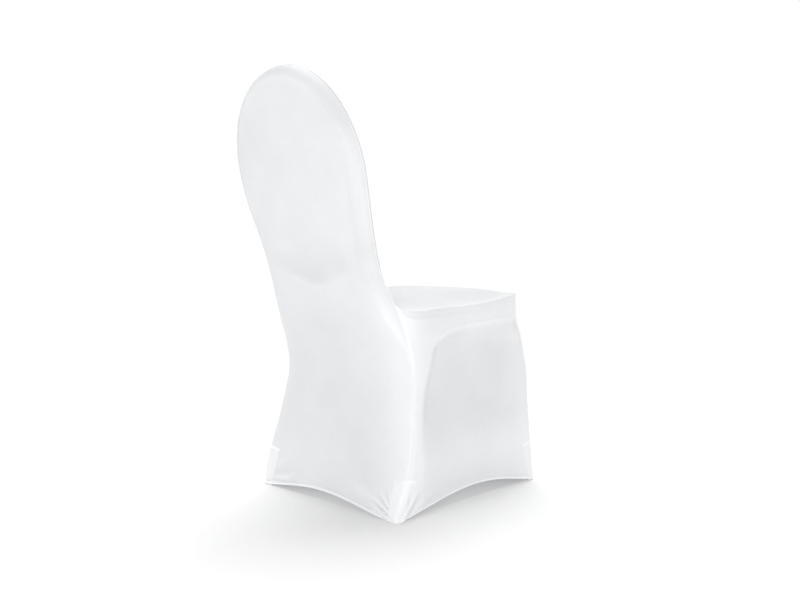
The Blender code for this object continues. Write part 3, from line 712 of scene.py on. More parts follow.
# %% The rear panel
class BackPanel(Panel):
    """The rear panel. The lower edge of the padded back shows through it as a faint arc."""

    PAD_RELIEF = 0.004
    PAD_EDGE_SOFT = 0.020
    PAD_BOTTOM = 0.476
    PAD_EDGE_SLOPE = 0.38
    PAD_EDGE_TURN = 0.012
    LOW_WHITE = 0.30
    FIRST_LEG_WHITE, FIRST_LEG_REACH = 0.50, 0.074
    SECOND_LEG_WHITE, SECOND_LEG_REACH = 0.14, 0.030
    PAD_SHADE = 0.26
    RIM_WHITE = 0.14
    ARCH_WHITE = 0.22

    def from_rim(self, point):
        """About how far a point is from the rim of the back."""
        if point.z < ARCH_SPRING:
            return REAR.at(point.z, "half_width") - abs(point.x)
        up = (point.z - ARCH_SPRING) / (TOP_HEIGHT - ARCH_SPRING)
        return (1 - math.hypot(point.x / ARCH_HALF_WIDTH, up)) * ARCH_HALF_WIDTH

    def above_pad_edge(self, point):
        """Height above the pad's lower edge, which is a flat V with a rounded tip."""
        edge = self.PAD_BOTTOM + math.hypot(self.PAD_EDGE_SLOPE * point.x, self.PAD_EDGE_TURN)
        return point.z - (edge - self.PAD_EDGE_TURN)

    def shape(self, point):
        soft = self.PAD_EDGE_SOFT / 2
        above = self.above_pad_edge(point)
        raised = smoothstep(-soft, soft, above)
        fade = 1 - smoothstep(0.02, 0.16, above)
        fade *= smoothstep(0.022, 0.060, self.from_rim(point))
        return Vector((0, self.PAD_RELIEF * raised * fade, 0))

    def backing(self, point, first, second):
        legs = 1 - smoothstep(0.38, 0.52, point.z)
        # painted light: the lower part of the panel is painted lighter
        value = PLAIN_WHITE + self.LOW_WHITE * (1 - smoothstep(0.06, 0.36, point.z))
        # whiter over the legs' frame, and far more beside the near leg, where it is a painted
        # highlight
        value += legs * (self.FIRST_LEG_WHITE * bell(first, self.FIRST_LEG_REACH)
                         + self.SECOND_LEG_WHITE * bell(second, self.SECOND_LEG_REACH))
        # painted shade along the pad's lower edge
        above = self.above_pad_edge(point)
        arc = bell(above - 0.018, 0.032) * smoothstep(-0.004, 0.006, above) * bell(point.x, 0.120)
        value -= self.PAD_SHADE * arc * smoothstep(0.40, 0.46, point.z)
        # a painted highlight right at the rim and painted shade a little in from it, below the arch
        from_rim = self.from_rim(point)
        over_arch = smoothstep(0.80, 0.89, point.z)
        rim = 1 - smoothstep(0.001, 0.006, from_rim) - bell(from_rim - 0.014, 0.009)
        value += self.RIM_WHITE * rim * (1 - legs) * (1 - over_arch)
        # a painted highlight along the rim over the arch
        return value + self.ARCH_WHITE * over_arch * (1 - smoothstep(0.004, 0.036, from_rim))


print("the pad's edge is lowest at", BackPanel.PAD_BOTTOM, "m")


# %% [markdown]
# ## The hollow in each side
#
# Under the seat rail and in front of the rear leg nothing backs the cloth, so it sinks in a
# little, and the edge of the frame shows as a line that turns a corner. The line is a table of
# depth by height. The cloth's height falls by a smooth step on one side of the line, and a
# narrow crest on the line itself is the frame's edge pressing through.

# %% The hollow's line
HOLLOW_COLUMNS = ("height", "depth")
HOLLOW_ROWS = (
    (0.000, 0.085),
    (0.120, 0.098),
    (0.165, 0.098),
    (0.250, 0.080),
    (0.316, 0.054),
    (0.345, 0.047),
    (0.3625, 0.034),
    (0.372, 0.010),
    (0.381, -0.014),
    (0.388, -0.138),
    (0.391, -0.272),
)
HOLLOW = Table(HOLLOW_COLUMNS, HOLLOW_ROWS)
HOLLOW_TOP = HOLLOW_ROWS[-1][0]
HOLLOW_START = 0.100
HOLLOW_STEP = 0.001
hollow_heights = np.linspace(HOLLOW_START, HOLLOW_TOP, 2001)
hollow_depths = np.array([HOLLOW.at(height, "depth") for height in hollow_heights])
hollow_lengths = np.hypot(np.diff(hollow_depths), np.diff(hollow_heights))
hollow_steps = np.concatenate([[0.0], np.cumsum(hollow_lengths)])
even_steps = np.arange(0.0, hollow_steps[-1], HOLLOW_STEP)
HOLLOW_LINE = np.column_stack([np.interp(even_steps, hollow_steps, hollow_depths),
                               np.interp(even_steps, hollow_steps, hollow_heights)])
print("the hollow's line is read at", len(HOLLOW_LINE), "points")


# %% The side panels
class SidePanel(Panel):
    """A side panel. The cloth sinks in under the seat rail and in front of the rear leg."""

    DEPTH = 0.009
    SOFT = 0.026
    CREST = 0.0013
    CREST_WIDTH = 0.0040
    FRONT_REACH = 0.070
    FRONT_SEAM = -0.268
    BACKED_WHITE, HOLLOW_WHITE = 0.44, 0.20
    REAR_LEG_WHITE, REAR_LEG_TOP_WHITE = 0.24, 0.26
    CREST_WHITE = 0.20
    FRONT_LEG_WHITE = 0.18
    LOW_BAND_WHITE = 0.20

    def into_hollow(self, point):
        """Distance from the hollow's line, more than zero on its inner side."""
        gaps = HOLLOW_LINE - np.array((point.y, point.z))
        distance = math.sqrt(float((gaps * gaps).sum(axis=1).min()))
        inside = point.z < HOLLOW_TOP and point.y < HOLLOW.at(point.z, "depth")
        return distance if inside else -distance

    def backing(self, point, first, second):
        inside = self.into_hollow(point)
        low = 1 - smoothstep(0.10, 0.20, point.z)
        value = mix(self.BACKED_WHITE, self.HOLLOW_WHITE,
                    smoothstep(-0.004, 0.018, inside) * (1 - low * 0.5))
        # whiter beside the rear leg, from the frame and more from a painted highlight that grows
        # upwards
        along_leg = self.REAR_LEG_WHITE + self.REAR_LEG_TOP_WHITE * smoothstep(0.20, 0.32, point.z)
        value += along_leg * bell(second, 0.046) * (1 - smoothstep(-0.006, 0.012, inside))
        # a painted highlight along the hollow's crest
        value += self.CREST_WHITE * bell(inside, 0.0035) * smoothstep(0.34, 0.37, point.z)
        value += self.FRONT_LEG_WHITE * bell(first, 0.034)
        # painted light on a low band of the panel
        return value + self.LOW_BAND_WHITE * bell(point.z - 0.06, 0.09)

    def shape(self, point):
        inside = self.into_hollow(point)
        sunk = smoothstep(0, self.SOFT, inside)
        crest = bell(inside, self.CREST_WIDTH) * smoothstep(0.34, 0.37, point.z)
        fade = smoothstep(0.130, 0.230, point.z)
        fade *= smoothstep(0.0, self.FRONT_REACH, point.y - self.FRONT_SEAM)
        return self.outward * ((self.CREST * crest - self.DEPTH * sunk) * fade)


print("the cloth sinks in by", round(SidePanel.DEPTH * 1000, 1), "mm")


# %% The front panel
class FrontPanel(Panel):
    """The front panel, over the seat and up the front of the back."""

    SEAT_LINE_WHITE, SEAT_EDGE_WHITE = 0.60, 0.22
    SEAT_SHADE = 0.06
    ARCH_SHADE = 0.60

    def backing(self, point, first, second):
        nearest = min(first, second)
        # painted highlights along the seat's edge, a thin line and a broad band, and painted shade
        # over the rest of the seat
        seat = smoothstep(0.40, 0.43, point.z) * (1 - smoothstep(0.44, 0.47, point.z))
        edge = self.SEAT_LINE_WHITE * bell(nearest, 0.005)
        edge += self.SEAT_EDGE_WHITE * bell(nearest, 0.045)
        value = PLAIN_WHITE + seat * (edge - self.SEAT_SHADE)
        return value - self.ARCH_SHADE * smoothstep(0.80, 0.88, point.z)


print("the seat's edge is whiter by up to", FrontPanel.SEAT_LINE_WHITE)

# %% [markdown]
# ## Cutting the panels
#
# The rear and the front panel have the legs and the rim as their side seams, as far as the
# arch's shoulders, and the arch between the shoulders as their upper seam. A side panel lies
# between two legs, under the edge of the seat. The left half mirrors the right, so only one
# side's seams are worked out. Each panel could be drawn flat and bent, as a tailor does, but
# the seams in space already say where the cloth lies.


# %% Seams that several panels share
def mirrored(stations):
    return [station.mirrored() for station in stations]


def arch_top(sign):
    """Stations over the arch, closer together near its ends."""
    turns = []
    for step in range(TOP_COLUMNS + 1):
        share = step / TOP_COLUMNS
        share -= 0.55 * math.sin(2 * math.pi * share) / (2 * math.pi)
        turns.append(mix(-ARCH_TURN, ARCH_TURN, share))
    return [arch_station(turn, sign) for turn in turns]


print("the arch's seam has", len(arch_top(1)), "stations")


# %% Cutting the four panels
def cut_back_panel():
    rail = [rear_station(height) for height in rear_heights + rim_heights[1:]]
    rail += [arch_station(-turn, 1) for turn in rim_turns]
    return BackPanel("rear_cloth", rail, arch_top(1), mirrored(rail),
                     (REAR_HEM_RISE, REAR_HEM_LEAN), Vector((0, 1, 0)), 0,
                     (0.45, rail[-1].point.z), (NEAR_FOOT_REAR, FAR_FOOT_REAR))


def cut_front_panel():
    corner = seat_station(SEAT_DEPTHS[0])
    rail = run_into(front_heights[:-1], FRONT_LEG_HEIGHTS, front_station,
                    corner, front_seam_point)
    foot_of_back = front_rim_station(RIM_HEIGHTS[0])
    rail += run_into(seat_depths[:-1], SEAT_DEPTHS, seat_station, foot_of_back, seat_seam_point)
    rail += [front_rim_station(height) for height in rim_heights]
    rail += [arch_station(-turn, -1) for turn in rim_turns]
    return FrontPanel("front_cloth", rail, arch_top(-1), mirrored(rail),
                      (FRONT_HEM_RISE, 1.0), Vector((0, -1, 0)), 0,
                      (0.47, rail[-1].point.z), (FRONT_FOOT_FRONT, FRONT_FOOT_FRONT))


def cut_side_panel(name, left, folds):
    top = [side_top_station(depth) for depth in seat_depths]
    front = run_into(front_heights[:-1], FRONT_LEG_HEIGHTS, side_front_station,
                     top[0], front_seam_point)
    rear = run_into(rear_heights[:-1], REAR_LEG_HEIGHTS, side_rear_station,
                    top[-1], rear_seam_point)
    front.append(top[0])
    rear.append(top[-1])
    outward = Vector((-1, 0, 0))
    if left:
        front, top, rear = mirrored(front), mirrored(top), mirrored(rear)
        outward = Vector((1, 0, 0))
    return SidePanel(name, front, top, rear, (SIDE_HEM_RISE, SIDE_HEM_LEAN), outward, 1,
                     (0.33, 0.44), folds)


back_panel = cut_back_panel()
front_panel = cut_front_panel()
side_right = cut_side_panel("right_side_cloth", False, (FRONT_FOOT_SIDE, NEAR_FOOT_SIDE))
side_left = cut_side_panel("left_side_cloth", True, (FRONT_FOOT_SIDE, FAR_FOOT_SIDE))
for panel in (back_panel, front_panel, side_right, side_left):
    print(panel.name, panel.columns, "columns and", panel.rows, "rows")

# %% [markdown]
# ## From grid to cloth
#
# The grid operator gives a flat sheet. Each vertex is then moved to its place on the panel, and
# pushed along its normal by the fine relief. The hem is the sheet's lower edge extruded a few
# times: round a small turn and up the inside, as it is folded on the machine. Solidify gives
# the knit its thickness at the end.

# %% Bending a sheet
WELD = 0.00002


def grid_numbers(vertex, across, up):
    """Column and row of a vertex in a grid that is one unit wide and high."""
    return round((vertex.co.x + 0.5) * across), round((vertex.co.y + 0.5) * up)


def face_outwards(sheet, outward):
    """Turns all the faces round if most of them point into the cover."""
    sheet.normal_update()
    facing = sum((face.normal * face.calc_area() for face in sheet.faces), Vector((0, 0, 0)))
    if facing.dot(outward) < 0:
        bmesh.ops.reverse_faces(sheet, faces=sheet.faces)
        sheet.normal_update()


def bent_sheet(panel):
    """The panel's grid bent into place, with its row and column kept on each vertex."""
    across = panel.columns + 2 * ROUND_STEPS
    up = panel.rows + ROUND_STEPS
    sheet = bmesh.new()
    sheet.loops.layers.uv.new("knit")
    bmesh.ops.create_grid(sheet, x_segments=across, y_segments=up, size=0.5, calc_uvs=True)
    column_of = sheet.verts.layers.int.new("column")
    row_of = sheet.verts.layers.int.new("row")
    for vertex in sheet.verts:
        vertex[column_of], vertex[row_of] = grid_numbers(vertex, across, up)
    corners = []
    for face in sheet.faces:
        middle = sum(vertex[column_of] for vertex in face.verts) / 4
        above = sum(vertex[row_of] for vertex in face.verts) / 4 > panel.rows
        if above and not ROUND_STEPS < middle < ROUND_STEPS + panel.columns:
            corners.append(face)
    bmesh.ops.delete(sheet, geom=corners, context="FACES")
    for vertex in sheet.verts:
        vertex.co = panel.place(vertex[column_of], vertex[row_of])
    bmesh.ops.remove_doubles(sheet, verts=sheet.verts, dist=WELD)
    face_outwards(sheet, panel.outward)
    return sheet, column_of, row_of


print("points nearer than", round(WELD * 1000, 3), "mm are welded")


# %% The knit's UVs, its whiteness and its fine relief
def measured_uvs(sheet, column_of, row_of, panel):
    """UVs in metres of cloth. Each column counts the widest of its steps at three heights, so
    the knit isn't drawn out where the roundings are wide."""
    across = panel.columns + 2 * ROUND_STEPS
    measured = (0, panel.rows // 2, panel.rows - 1)
    middle = ROUND_STEPS + panel.columns // 2

    def step(column, row, right, up):
        return (panel.place(column + right, row + up) - panel.place(column, row)).length

    widths = np.cumsum([0.0] + [max(step(column, row, 1, 0) for row in measured)
                                for column in range(across)])
    heights = np.cumsum([0.0] + [step(middle, row, 0, 1)
                                 for row in range(panel.rows + ROUND_STEPS)])
    knit = sheet.loops.layers.uv["knit"]
    for face in sheet.faces:
        for loop in face.loops:
            loop[knit].uv = (widths[loop.vert[column_of]], heights[loop.vert[row_of]])


def raise_relief(sheet, row_of, panel):
    """Notes each vertex's whiteness, then pushes it along its normal by the fine relief."""
    white = sheet.verts.layers.float.new("whiteness")
    for vertex in sheet.verts:
        vertex[white] = panel.whiteness(vertex.co, vertex[row_of])
    moves = [(vertex, vertex.normal * panel.relief(vertex.co, vertex[row_of]))
             for vertex in sheet.verts]
    for vertex, move in moves:
        vertex.co += move


print("each rounding beside a seam has", ROUND_STEPS, "columns")

# %% Folding the hem
KNIT_THICKNESS = 0.0009
HEM_TURN = 0.0010
HEM_TURN_STEPS = 4
HEM_INSIDE_ROWS = (4, 7, 10, 13)


def turn_moves(inward):
    """The small moves that carry the lower edge half way round its turn."""
    moves = []
    for step in range(HEM_TURN_STEPS):
        start = math.pi * step / HEM_TURN_STEPS
        end = math.pi * (step + 1) / HEM_TURN_STEPS
        moves.append(inward * (HEM_TURN * (math.cos(start) - math.cos(end)))
                     - Vector((0, 0, HEM_TURN * (math.sin(end) - math.sin(start)))))
    return moves


def fold_hem(sheet, column_of, row_of, panel):
    """Turns the lower edge inwards, and up the inside along rows of the outer layer."""
    wall = {(vertex[column_of], vertex[row_of]): vertex.co.copy()
            for vertex in sheet.verts if vertex[row_of] <= HEM_INSIDE_ROWS[-1]}
    edges = [edge for edge in sheet.edges
             if edge.is_boundary and all(vertex[row_of] == 0 for vertex in edge.verts)]
    inward = -panel.outward
    for step in turn_moves(inward) + list(HEM_INSIDE_ROWS):
        made = bmesh.ops.extrude_edge_only(sheet, edges=edges)["geom"]
        verts = {item for item in made if isinstance(item, bmesh.types.BMVert)}
        edges = [item for item in made if isinstance(item, bmesh.types.BMEdge)
                 and item.is_boundary and verts.issuperset(item.verts)]
        for vertex in verts:
            if isinstance(step, Vector):
                vertex.co += step
            else:
                vertex.co = wall[vertex[column_of], step] + inward * (2 * HEM_TURN)
            vertex.co.z = max(vertex.co.z, KNIT_THICKNESS / 2)


print("the hem is folded in", HEM_TURN_STEPS + len(HEM_INSIDE_ROWS), "steps")


# %% Making an object of a sheet
def mesh_object(name, sheet, material):
    """Turns a bmesh into a smoothly shaded object of one material."""
    mesh = bpy.data.meshes.new(name)
    sheet.to_mesh(mesh)
    sheet.free()
    mesh.shade_smooth()
    mesh.materials.append(material)
    return put_in_scene(name, mesh)


def cloth_object(name, sheet, thickness, material):
    """Thickens a sheet inwards with a live Solidify. Its cut edges stay crisp in shading."""
    for edge in sheet.edges:
        edge.smooth = not edge.is_boundary
    item = mesh_object(name, sheet, material)
    solidify = item.modifiers.new("thickness", "SOLIDIFY")
    solidify.thickness = thickness
    solidify.offset = -1.0
    solidify.use_even_offset = False
    return item


print("the knit is", round(KNIT_THICKNESS * 1000, 2), "mm thick")

# %% [markdown]
# ## White stretch knit
#
# The cloth is a very fine warp knit of polyester and elastane: bright white, with a soft satin
# sheen along the stretch. From a step away it is smooth, and only its unevenness shows. A flat
# white would look like plaster, so the colour drifts a little around the vertex's whiteness,
# the roughness drifts with it, and a fine rib of bump follows the knit's UVs in metres.

# %% Colour of the knit
MOTTLE = 0.60
GREY_AT = -1.0
WHITE_AT = 1.2


def node(tree, kind, inputs=None, **settings):
    """A shader node, with its settings and the values of its sockets."""
    made = tree.nodes.new(kind)
    for name, value in settings.items():
        setattr(made, name, value)
    for name, value in (inputs or {}).items():
        made.inputs[name].default_value = value
    return made


def join(tree, source, output, target, entry):
    tree.links.new(source.outputs[output], target.inputs[entry])


def knit_colour(tree, shader, drift, grey, white):
    """The whiteness of a spot, its painted light and shade included, turns it from grey, where
    light passes through, to white.
    """
    backed = node(tree, "ShaderNodeAttribute", attribute_name="whiteness")
    mottle = node(tree, "ShaderNodeMath", {1: MOTTLE}, operation="MULTIPLY_ADD")
    level = node(tree, "ShaderNodeMapRange",
                 {"From Min": GREY_AT + MOTTLE / 2, "From Max": WHITE_AT + MOTTLE / 2})
    tint = node(tree, "ShaderNodeMix", {"A": (*grey, 1.0), "B": (*white, 1.0)}, data_type="RGBA")
    join(tree, drift, "Fac", mottle, 0)
    join(tree, backed, "Fac", mottle, 2)
    join(tree, mottle, "Value", level, "Value")
    join(tree, level, "Result", tint, "Factor")
    join(tree, tint, "Result", shader, "Base Color")


print("cloth is fully grey at a whiteness of", GREY_AT, "and fully white at", WHITE_AT)

# %% Shine and ribs of the knit
SHINE_DRIFT = 0.05
RIB_HEIGHT = 0.00015
WAVES_PER_METRE = 3.18


def knit_shine(tree, shader, drift, roughness):
    """The roughness drifts a little, with the same noise as the colour."""
    shine = node(tree, "ShaderNodeMapRange",
                 {"From Min": 0.3, "From Max": 0.7,
                  "To Min": roughness - SHINE_DRIFT, "To Max": roughness + SHINE_DRIFT})
    join(tree, drift, "Fac", shine, "Value")
    join(tree, shine, "Result", shader, "Roughness")


def knit_ribs(tree, shader, place, wale_pitch):
    """Wales times courses, as bump, with a grain of fibres. A wave texture of scale 1 repeats
    WAVES_PER_METRE times in a metre."""
    loops = node(tree, "ShaderNodeMath", operation="MULTIPLY")
    for entry, (way, detail) in enumerate((("X", 1.0), ("Y", 2.0))):
        wave = node(tree, "ShaderNodeTexWave",
                    {"Scale": 1.0 / wale_pitch / WAVES_PER_METRE,
                     "Distortion": 1.4, "Detail": detail},
                    wave_type="BANDS", bands_direction=way)
        join(tree, place, "UV", wave, "Vector")
        join(tree, wave, "Fac", loops, entry)
    grain = node(tree, "ShaderNodeTexNoise", {"Scale": 420.0, "Detail": 2.0})
    heights = node(tree, "ShaderNodeMath", operation="ADD")
    bump = node(tree, "ShaderNodeBump", {"Strength": 0.25, "Distance": RIB_HEIGHT})
    join(tree, place, "Object", grain, "Vector")
    join(tree, loops, "Value", heights, 0)
    join(tree, grain, "Fac", heights, 1)
    join(tree, heights, "Value", bump, "Height")
    join(tree, bump, "Normal", shader, "Normal")


print("the ribs of the knit are", round(RIB_HEIGHT * 1000, 2), "mm high")


# %% The three materials
def knit_material(name, grey, white, roughness, wale_pitch):
    """White knit with a soft satin sheen."""
    material = bpy.data.materials.new(name)
    material.use_nodes = True
    tree = material.node_tree
    shader = tree.nodes["Principled BSDF"]
    for entry, value in (("Metallic", 0.0), ("Sheen Weight", 0.25), ("Sheen Roughness", 0.35),
                         ("Specular IOR Level", 0.35)):
        shader.inputs[entry].default_value = value
    place = node(tree, "ShaderNodeTexCoord")
    drift = node(tree, "ShaderNodeTexNoise", {"Scale": 7.0, "Detail": 4.0, "Roughness": 0.55})
    join(tree, place, "Object", drift, "Vector")
    knit_colour(tree, shader, drift, grey, white)
    knit_shine(tree, shader, drift, roughness)
    knit_ribs(tree, shader, place, wale_pitch)
    return material


cloth = knit_material("white_stretch_knit", (0.47, 0.48, 0.50), (0.95, 0.96, 0.97),
                      0.42, 0.0006)
doubled = knit_material("doubled_pocket_knit", (0.53, 0.54, 0.55), (0.95, 0.955, 0.965),
                        0.50, 0.0006)
thread = knit_material("seam_thread", (0.80, 0.80, 0.81), (0.96, 0.96, 0.97), 0.50, 0.0004)
print("materials", [material.name for material in (cloth, doubled, thread)])

# %% [markdown]
# ## Sewing
#
# Each panel is one length of the knit, cut, hemmed and joined to its neighbours. Here every
# panel goes through the same steps, so one function sews them all. It also keeps the hem's
# points before the hem is folded, because the stitches are set on them later.

# %% Sewing the four panels
hem_cloth = {}


def sew(panel, nodes):
    """Makes one panel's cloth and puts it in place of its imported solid."""
    sheet, column_of, row_of = bent_sheet(panel)
    measured_uvs(sheet, column_of, row_of, panel)
    raise_relief(sheet, row_of, panel)
    hem = {vertex[column_of]: {} for vertex in sheet.verts}
    for vertex in sheet.verts:
        if vertex[row_of] <= len(HEM_STEPS_MM):
            hem[vertex[column_of]][vertex[row_of]] = (vertex.co.copy(), vertex.normal.copy())
    hem_cloth[panel.name] = hem
    fold_hem(sheet, column_of, row_of, panel)
    item = cloth_object(panel.name, sheet, KNIT_THICKNESS, cloth)
    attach(item, "root")
    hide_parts(*nodes)
    print(panel.name, len(item.data.polygons), "faces")
    return item


rear_cloth = sew(back_panel, ["back_panel"])
front_cloth = sew(front_panel, ["front_panel"])
right_cloth = sew(side_right, ["side_panel_right"])
left_cloth = sew(side_left, ["side_panel_left"])

# %% [markdown]
# ## Foot pockets
#
# Each foot of the chair stands in a pocket of doubled cloth at the corner of the cover. The
# patch wraps the corner seam, is widest at its hemmed top and narrows to the floor, where a
# flat sole closes it. It is cut from the same surface as the panels it lies on, so it takes
# the same folds, and it stands one cloth's thickness proud of them.

# %% Sizes of a foot pocket
# Its widths on the two cloths are given at the foot and at the top
POCKET_ON_FACE = (0.028, 0.037)
POCKET_ON_SIDE = (0.018, 0.029)
POCKET_COLUMNS = 14
POCKET_TOP_ROW = len(HEM_STEPS_MM) - 1 + LEG_PARTS[1] + LEG_PARTS[2]
POCKET_THICKNESS = 0.0009
POCKET_SEWN_IN = 0.0003
POCKET_DROOP_ROWS = 3.0
POCKET_FLOOR = 0.0004
POCKET_UV_STEP = 0.002
print("a pocket is", round(back_panel.first[POCKET_TOP_ROW].point.z, 3), "m high")

# %% The pocket's own hem, and how much whiter its doubled cloth is
POCKET_HEM = 0.0062
POCKET_HEM_RISE = 0.0006
POCKET_HEM_MIDDLE = 0.0021
POCKET_STITCH_SINK = 0.0005
POCKET_WHITE = 0.20
POCKET_FACE_WHITE = 0.30
POCKET_EDGE_SHARE = 0.4
print("its hem is", round(POCKET_HEM * 1000, 1), "mm deep")


# %% Laying a pocket on the two panels beside it
def pocket_side(panel, second, widths):
    """A function of row and share that gives a point of the panel, from its seam inwards."""
    rail = panel.second if second else panel.first

    def place(row, share):
        top = rail[POCKET_TOP_ROW].point.z
        width = mix(*widths, smoothstep(0.0, 0.6 * top, rail[row].point.z))
        edge = rail[row].reach.length
        if share * width < edge:
            return rail[row].across(share * width / edge)
        length = (panel.first[row].across(1.0) - panel.second[row].across(1.0)).length
        core_share = (share * width - edge) / length
        return panel.core(row, 1 - core_share if second else core_share)

    return place


def pocket_places(spots, sides):
    """Each vertex's point on a panel, and that panel. The top droops away from the corner."""
    places = {}
    for vertex, (column, row) in spots.items():
        share = (column - POCKET_COLUMNS) / POCKET_COLUMNS
        side, panel = sides[0] if share < 0 else sides[1]
        share = abs(share)
        fall = POCKET_DROOP_ROWS * share ** 1.5 * smoothstep(0.5, 1.0, row / POCKET_TOP_ROW)
        upper = row - int(fall)
        point = side(upper, share)
        if fall:
            point = point.lerp(side(upper - 1, share), fall - int(fall))
        places[vertex] = (point, panel)
    return places


def raise_pocket(spots, places):
    """Lifts the patch off the panels by its own thickness, but not where it is sewn in."""
    moves = {}
    for vertex, (column, row) in spots.items():
        panel = places[vertex][1]
        share = abs(column - POCKET_COLUMNS) / POCKET_COLUMNS
        below_top = panel.first[POCKET_TOP_ROW].point.z - panel.first[row].point.z
        proud = mix(POCKET_THICKNESS + GAP, -POCKET_SEWN_IN, smoothstep(0.75, 1.0, share))
        proud += POCKET_HEM_RISE * bell(below_top - POCKET_HEM_MIDDLE, 0.0014)
        proud -= POCKET_STITCH_SINK * bell(below_top - POCKET_HEM, 0.0010)
        proud = mix(min(POCKET_SEWN_IN, proud), proud, smoothstep(0.0, POCKET_HEM, below_top))
        moves[vertex] = vertex.normal * (proud + panel.relief(vertex.co, row))
    for vertex, move in moves.items():
        vertex.co += move
        if spots[vertex][1] == 0:
            vertex.co.z = POCKET_FLOOR


print("its top edge droops by", POCKET_DROOP_ROWS, "rows at the ends")


# %% Finishing a pocket
def whiten_pocket(patch, spots, places):
    """The panel's whiteness with its painted light and shade, more on the doubled cloth and its
    broad side, and a painted highlight along its top.
    """
    white = patch.verts.layers.float["whiteness"]
    for vertex, (column, row) in spots.items():
        point, panel = places[vertex]
        vertex[white] = POCKET_WHITE + panel.whiteness(point, row) - PLAIN_WHITE
        vertex[white] += POCKET_FACE_WHITE * smoothstep(-2, 4, POCKET_COLUMNS - column)
        # a painted highlight along the pocket's hemmed top
        near_top = smoothstep(POCKET_TOP_ROW - 3, POCKET_TOP_ROW - 1, row)
        vertex[white] += EDGE_WHITE * POCKET_EDGE_SHARE * near_top


def pocket_sole(patch, low):
    """Closes the patch with a flat sole between its lower edge and a line behind the foot."""
    edges = [edge for edge in patch.edges
             if edge.is_boundary and all(vertex in low for vertex in edge.verts)]
    count = {vertex: sum(vertex in edge.verts for edge in edges) for vertex in low}
    ends = [vertex for vertex in low if count[vertex] == 1]
    edges.append(patch.edges.new(ends))
    bmesh.ops.contextual_create(patch, geom=edges)


def foot_pocket(name, nodes, sides, outward):
    """The patch wraps from one panel, across the corner seam, onto the other."""
    across = 2 * POCKET_COLUMNS
    patch = bmesh.new()
    knit = patch.loops.layers.uv.new("knit")
    patch.verts.layers.float.new("whiteness")
    bmesh.ops.create_grid(patch, x_segments=across, y_segments=POCKET_TOP_ROW, size=0.5,
                          calc_uvs=True)
    spots = {vertex: grid_numbers(vertex, across, POCKET_TOP_ROW) for vertex in patch.verts}
    places = pocket_places(spots, sides)
    for vertex, (point, _panel) in places.items():
        vertex.co = point
    face_outwards(patch, outward)
    raise_pocket(spots, places)
    whiten_pocket(patch, spots, places)
    for face in patch.faces:
        for loop in face.loops:
            column, row = spots[loop.vert]
            loop[knit].uv = (column * POCKET_UV_STEP, row * POCKET_UV_STEP)
    pocket_sole(patch, {vertex for vertex, (_column, row) in spots.items() if row == 0})
    patch.normal_update()
    item = cloth_object(name, patch, POCKET_THICKNESS, doubled)
    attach(item, "root")
    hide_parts(*nodes)
    return item


# %% The four pockets
# A row holds: corner, the panel on its face and whether its second seam is the corner's, the
# same for the side panel, and the way out of the corner
CORNERS = (
    ("rear_right", back_panel, False, side_right, True, Vector((-1, 1, 0))),
    ("rear_left", back_panel, True, side_left, True, Vector((1, 1, 0))),
    ("front_right", front_panel, False, side_right, False, Vector((-1, -1, 0))),
    ("front_left", front_panel, True, side_left, False, Vector((1, -1, 0))),
)
for corner, face_panel, face_second, side_panel, side_second, outward in CORNERS:
    sides = ((pocket_side(face_panel, face_second, POCKET_ON_FACE), face_panel),
             (pocket_side(side_panel, side_second, POCKET_ON_SIDE), side_panel))
    foot_pocket("pocket_" + corner, ["foot_pocket_" + corner], sides, outward)

# %% [markdown]
# ## Seam ridges
#
# Inside the cover the panels are joined by an overlocked seam, whose bulk lifts the edges of
# the cloth into a fine ridge that catches the light. A curve with a round bevel follows each
# seam, half sunk in the cloth. Its radius swells a little at every stitch, which a plain
# cylinder would not do.

# %% Points along a seam
SEAM_RADIUS = 0.0009
SEAM_THIN = 0.82
SEAM_SUNK = 0.0003
STITCH_PITCH = 0.0030
SEAT_HEIGHT = 0.45
SKIRT_MIDDLE = -0.05


def even_points(points, pitch):
    """Points at an even pitch along a line of points."""
    steps = [0.0]
    for start, end in zip(points, points[1:]):
        steps.append(steps[-1] + (end - start).length)
    count = int(steps[-1] / pitch)
    made = []
    index = 0
    for number in range(count + 1):
        goal = steps[-1] * number / count
        while index < len(points) - 2 and steps[index + 1] < goal:
            index += 1
        span = steps[index + 1] - steps[index]
        made.append(points[index].lerp(points[index + 1], (goal - steps[index]) / span))
    return made


def away_from_middle(point):
    """The way out of the cover, level, from the upright line through its middle."""
    middle = Vector((0.0, REAR.at(point.z, "depth") if point.z > SEAT_HEIGHT else SKIRT_MIDDLE,
                     point.z))
    if point.z > ARCH_SPRING:
        middle = Vector((0.0, REAR.at(ARCH_SPRING, "depth"), ARCH_SPRING))
    return (point - middle).normalized()


print("the overlock has a stitch each", round(STITCH_PITCH * 1000, 1), "mm")


# %% A ridge along a seam
def seam_ridge(name, points, away):
    """A fine ridge along a line of points. The function away gives the way out of the cover."""
    line = even_points(points, STITCH_PITCH / 2)
    curve = bpy.data.curves.new(name, "CURVE")
    curve.dimensions = "3D"
    curve.bevel_depth = SEAM_RADIUS
    curve.bevel_resolution = 2
    curve.use_fill_caps = True
    spline = curve.splines.new("POLY")
    spline.points.add(len(line) - 1)
    for number, point in enumerate(line):
        spot = point - away(point) * SEAM_SUNK
        spline.points[number].co = (*spot, 1.0)
        spline.points[number].radius = 1.0 if number % 2 else SEAM_THIN
    holder = put_in_scene(name + "_curve", curve)
    graph = bpy.context.evaluated_depsgraph_get()
    mesh = bpy.data.meshes.new_from_object(holder.evaluated_get(graph))
    bpy.data.objects.remove(holder)
    mesh.name = name
    mesh.materials.clear()
    mesh.materials.append(thread)
    mesh.shade_smooth()
    ridge = put_in_scene(name, mesh)
    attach(ridge, "root")
    print(name, len(mesh.polygons), "faces")
    return ridge


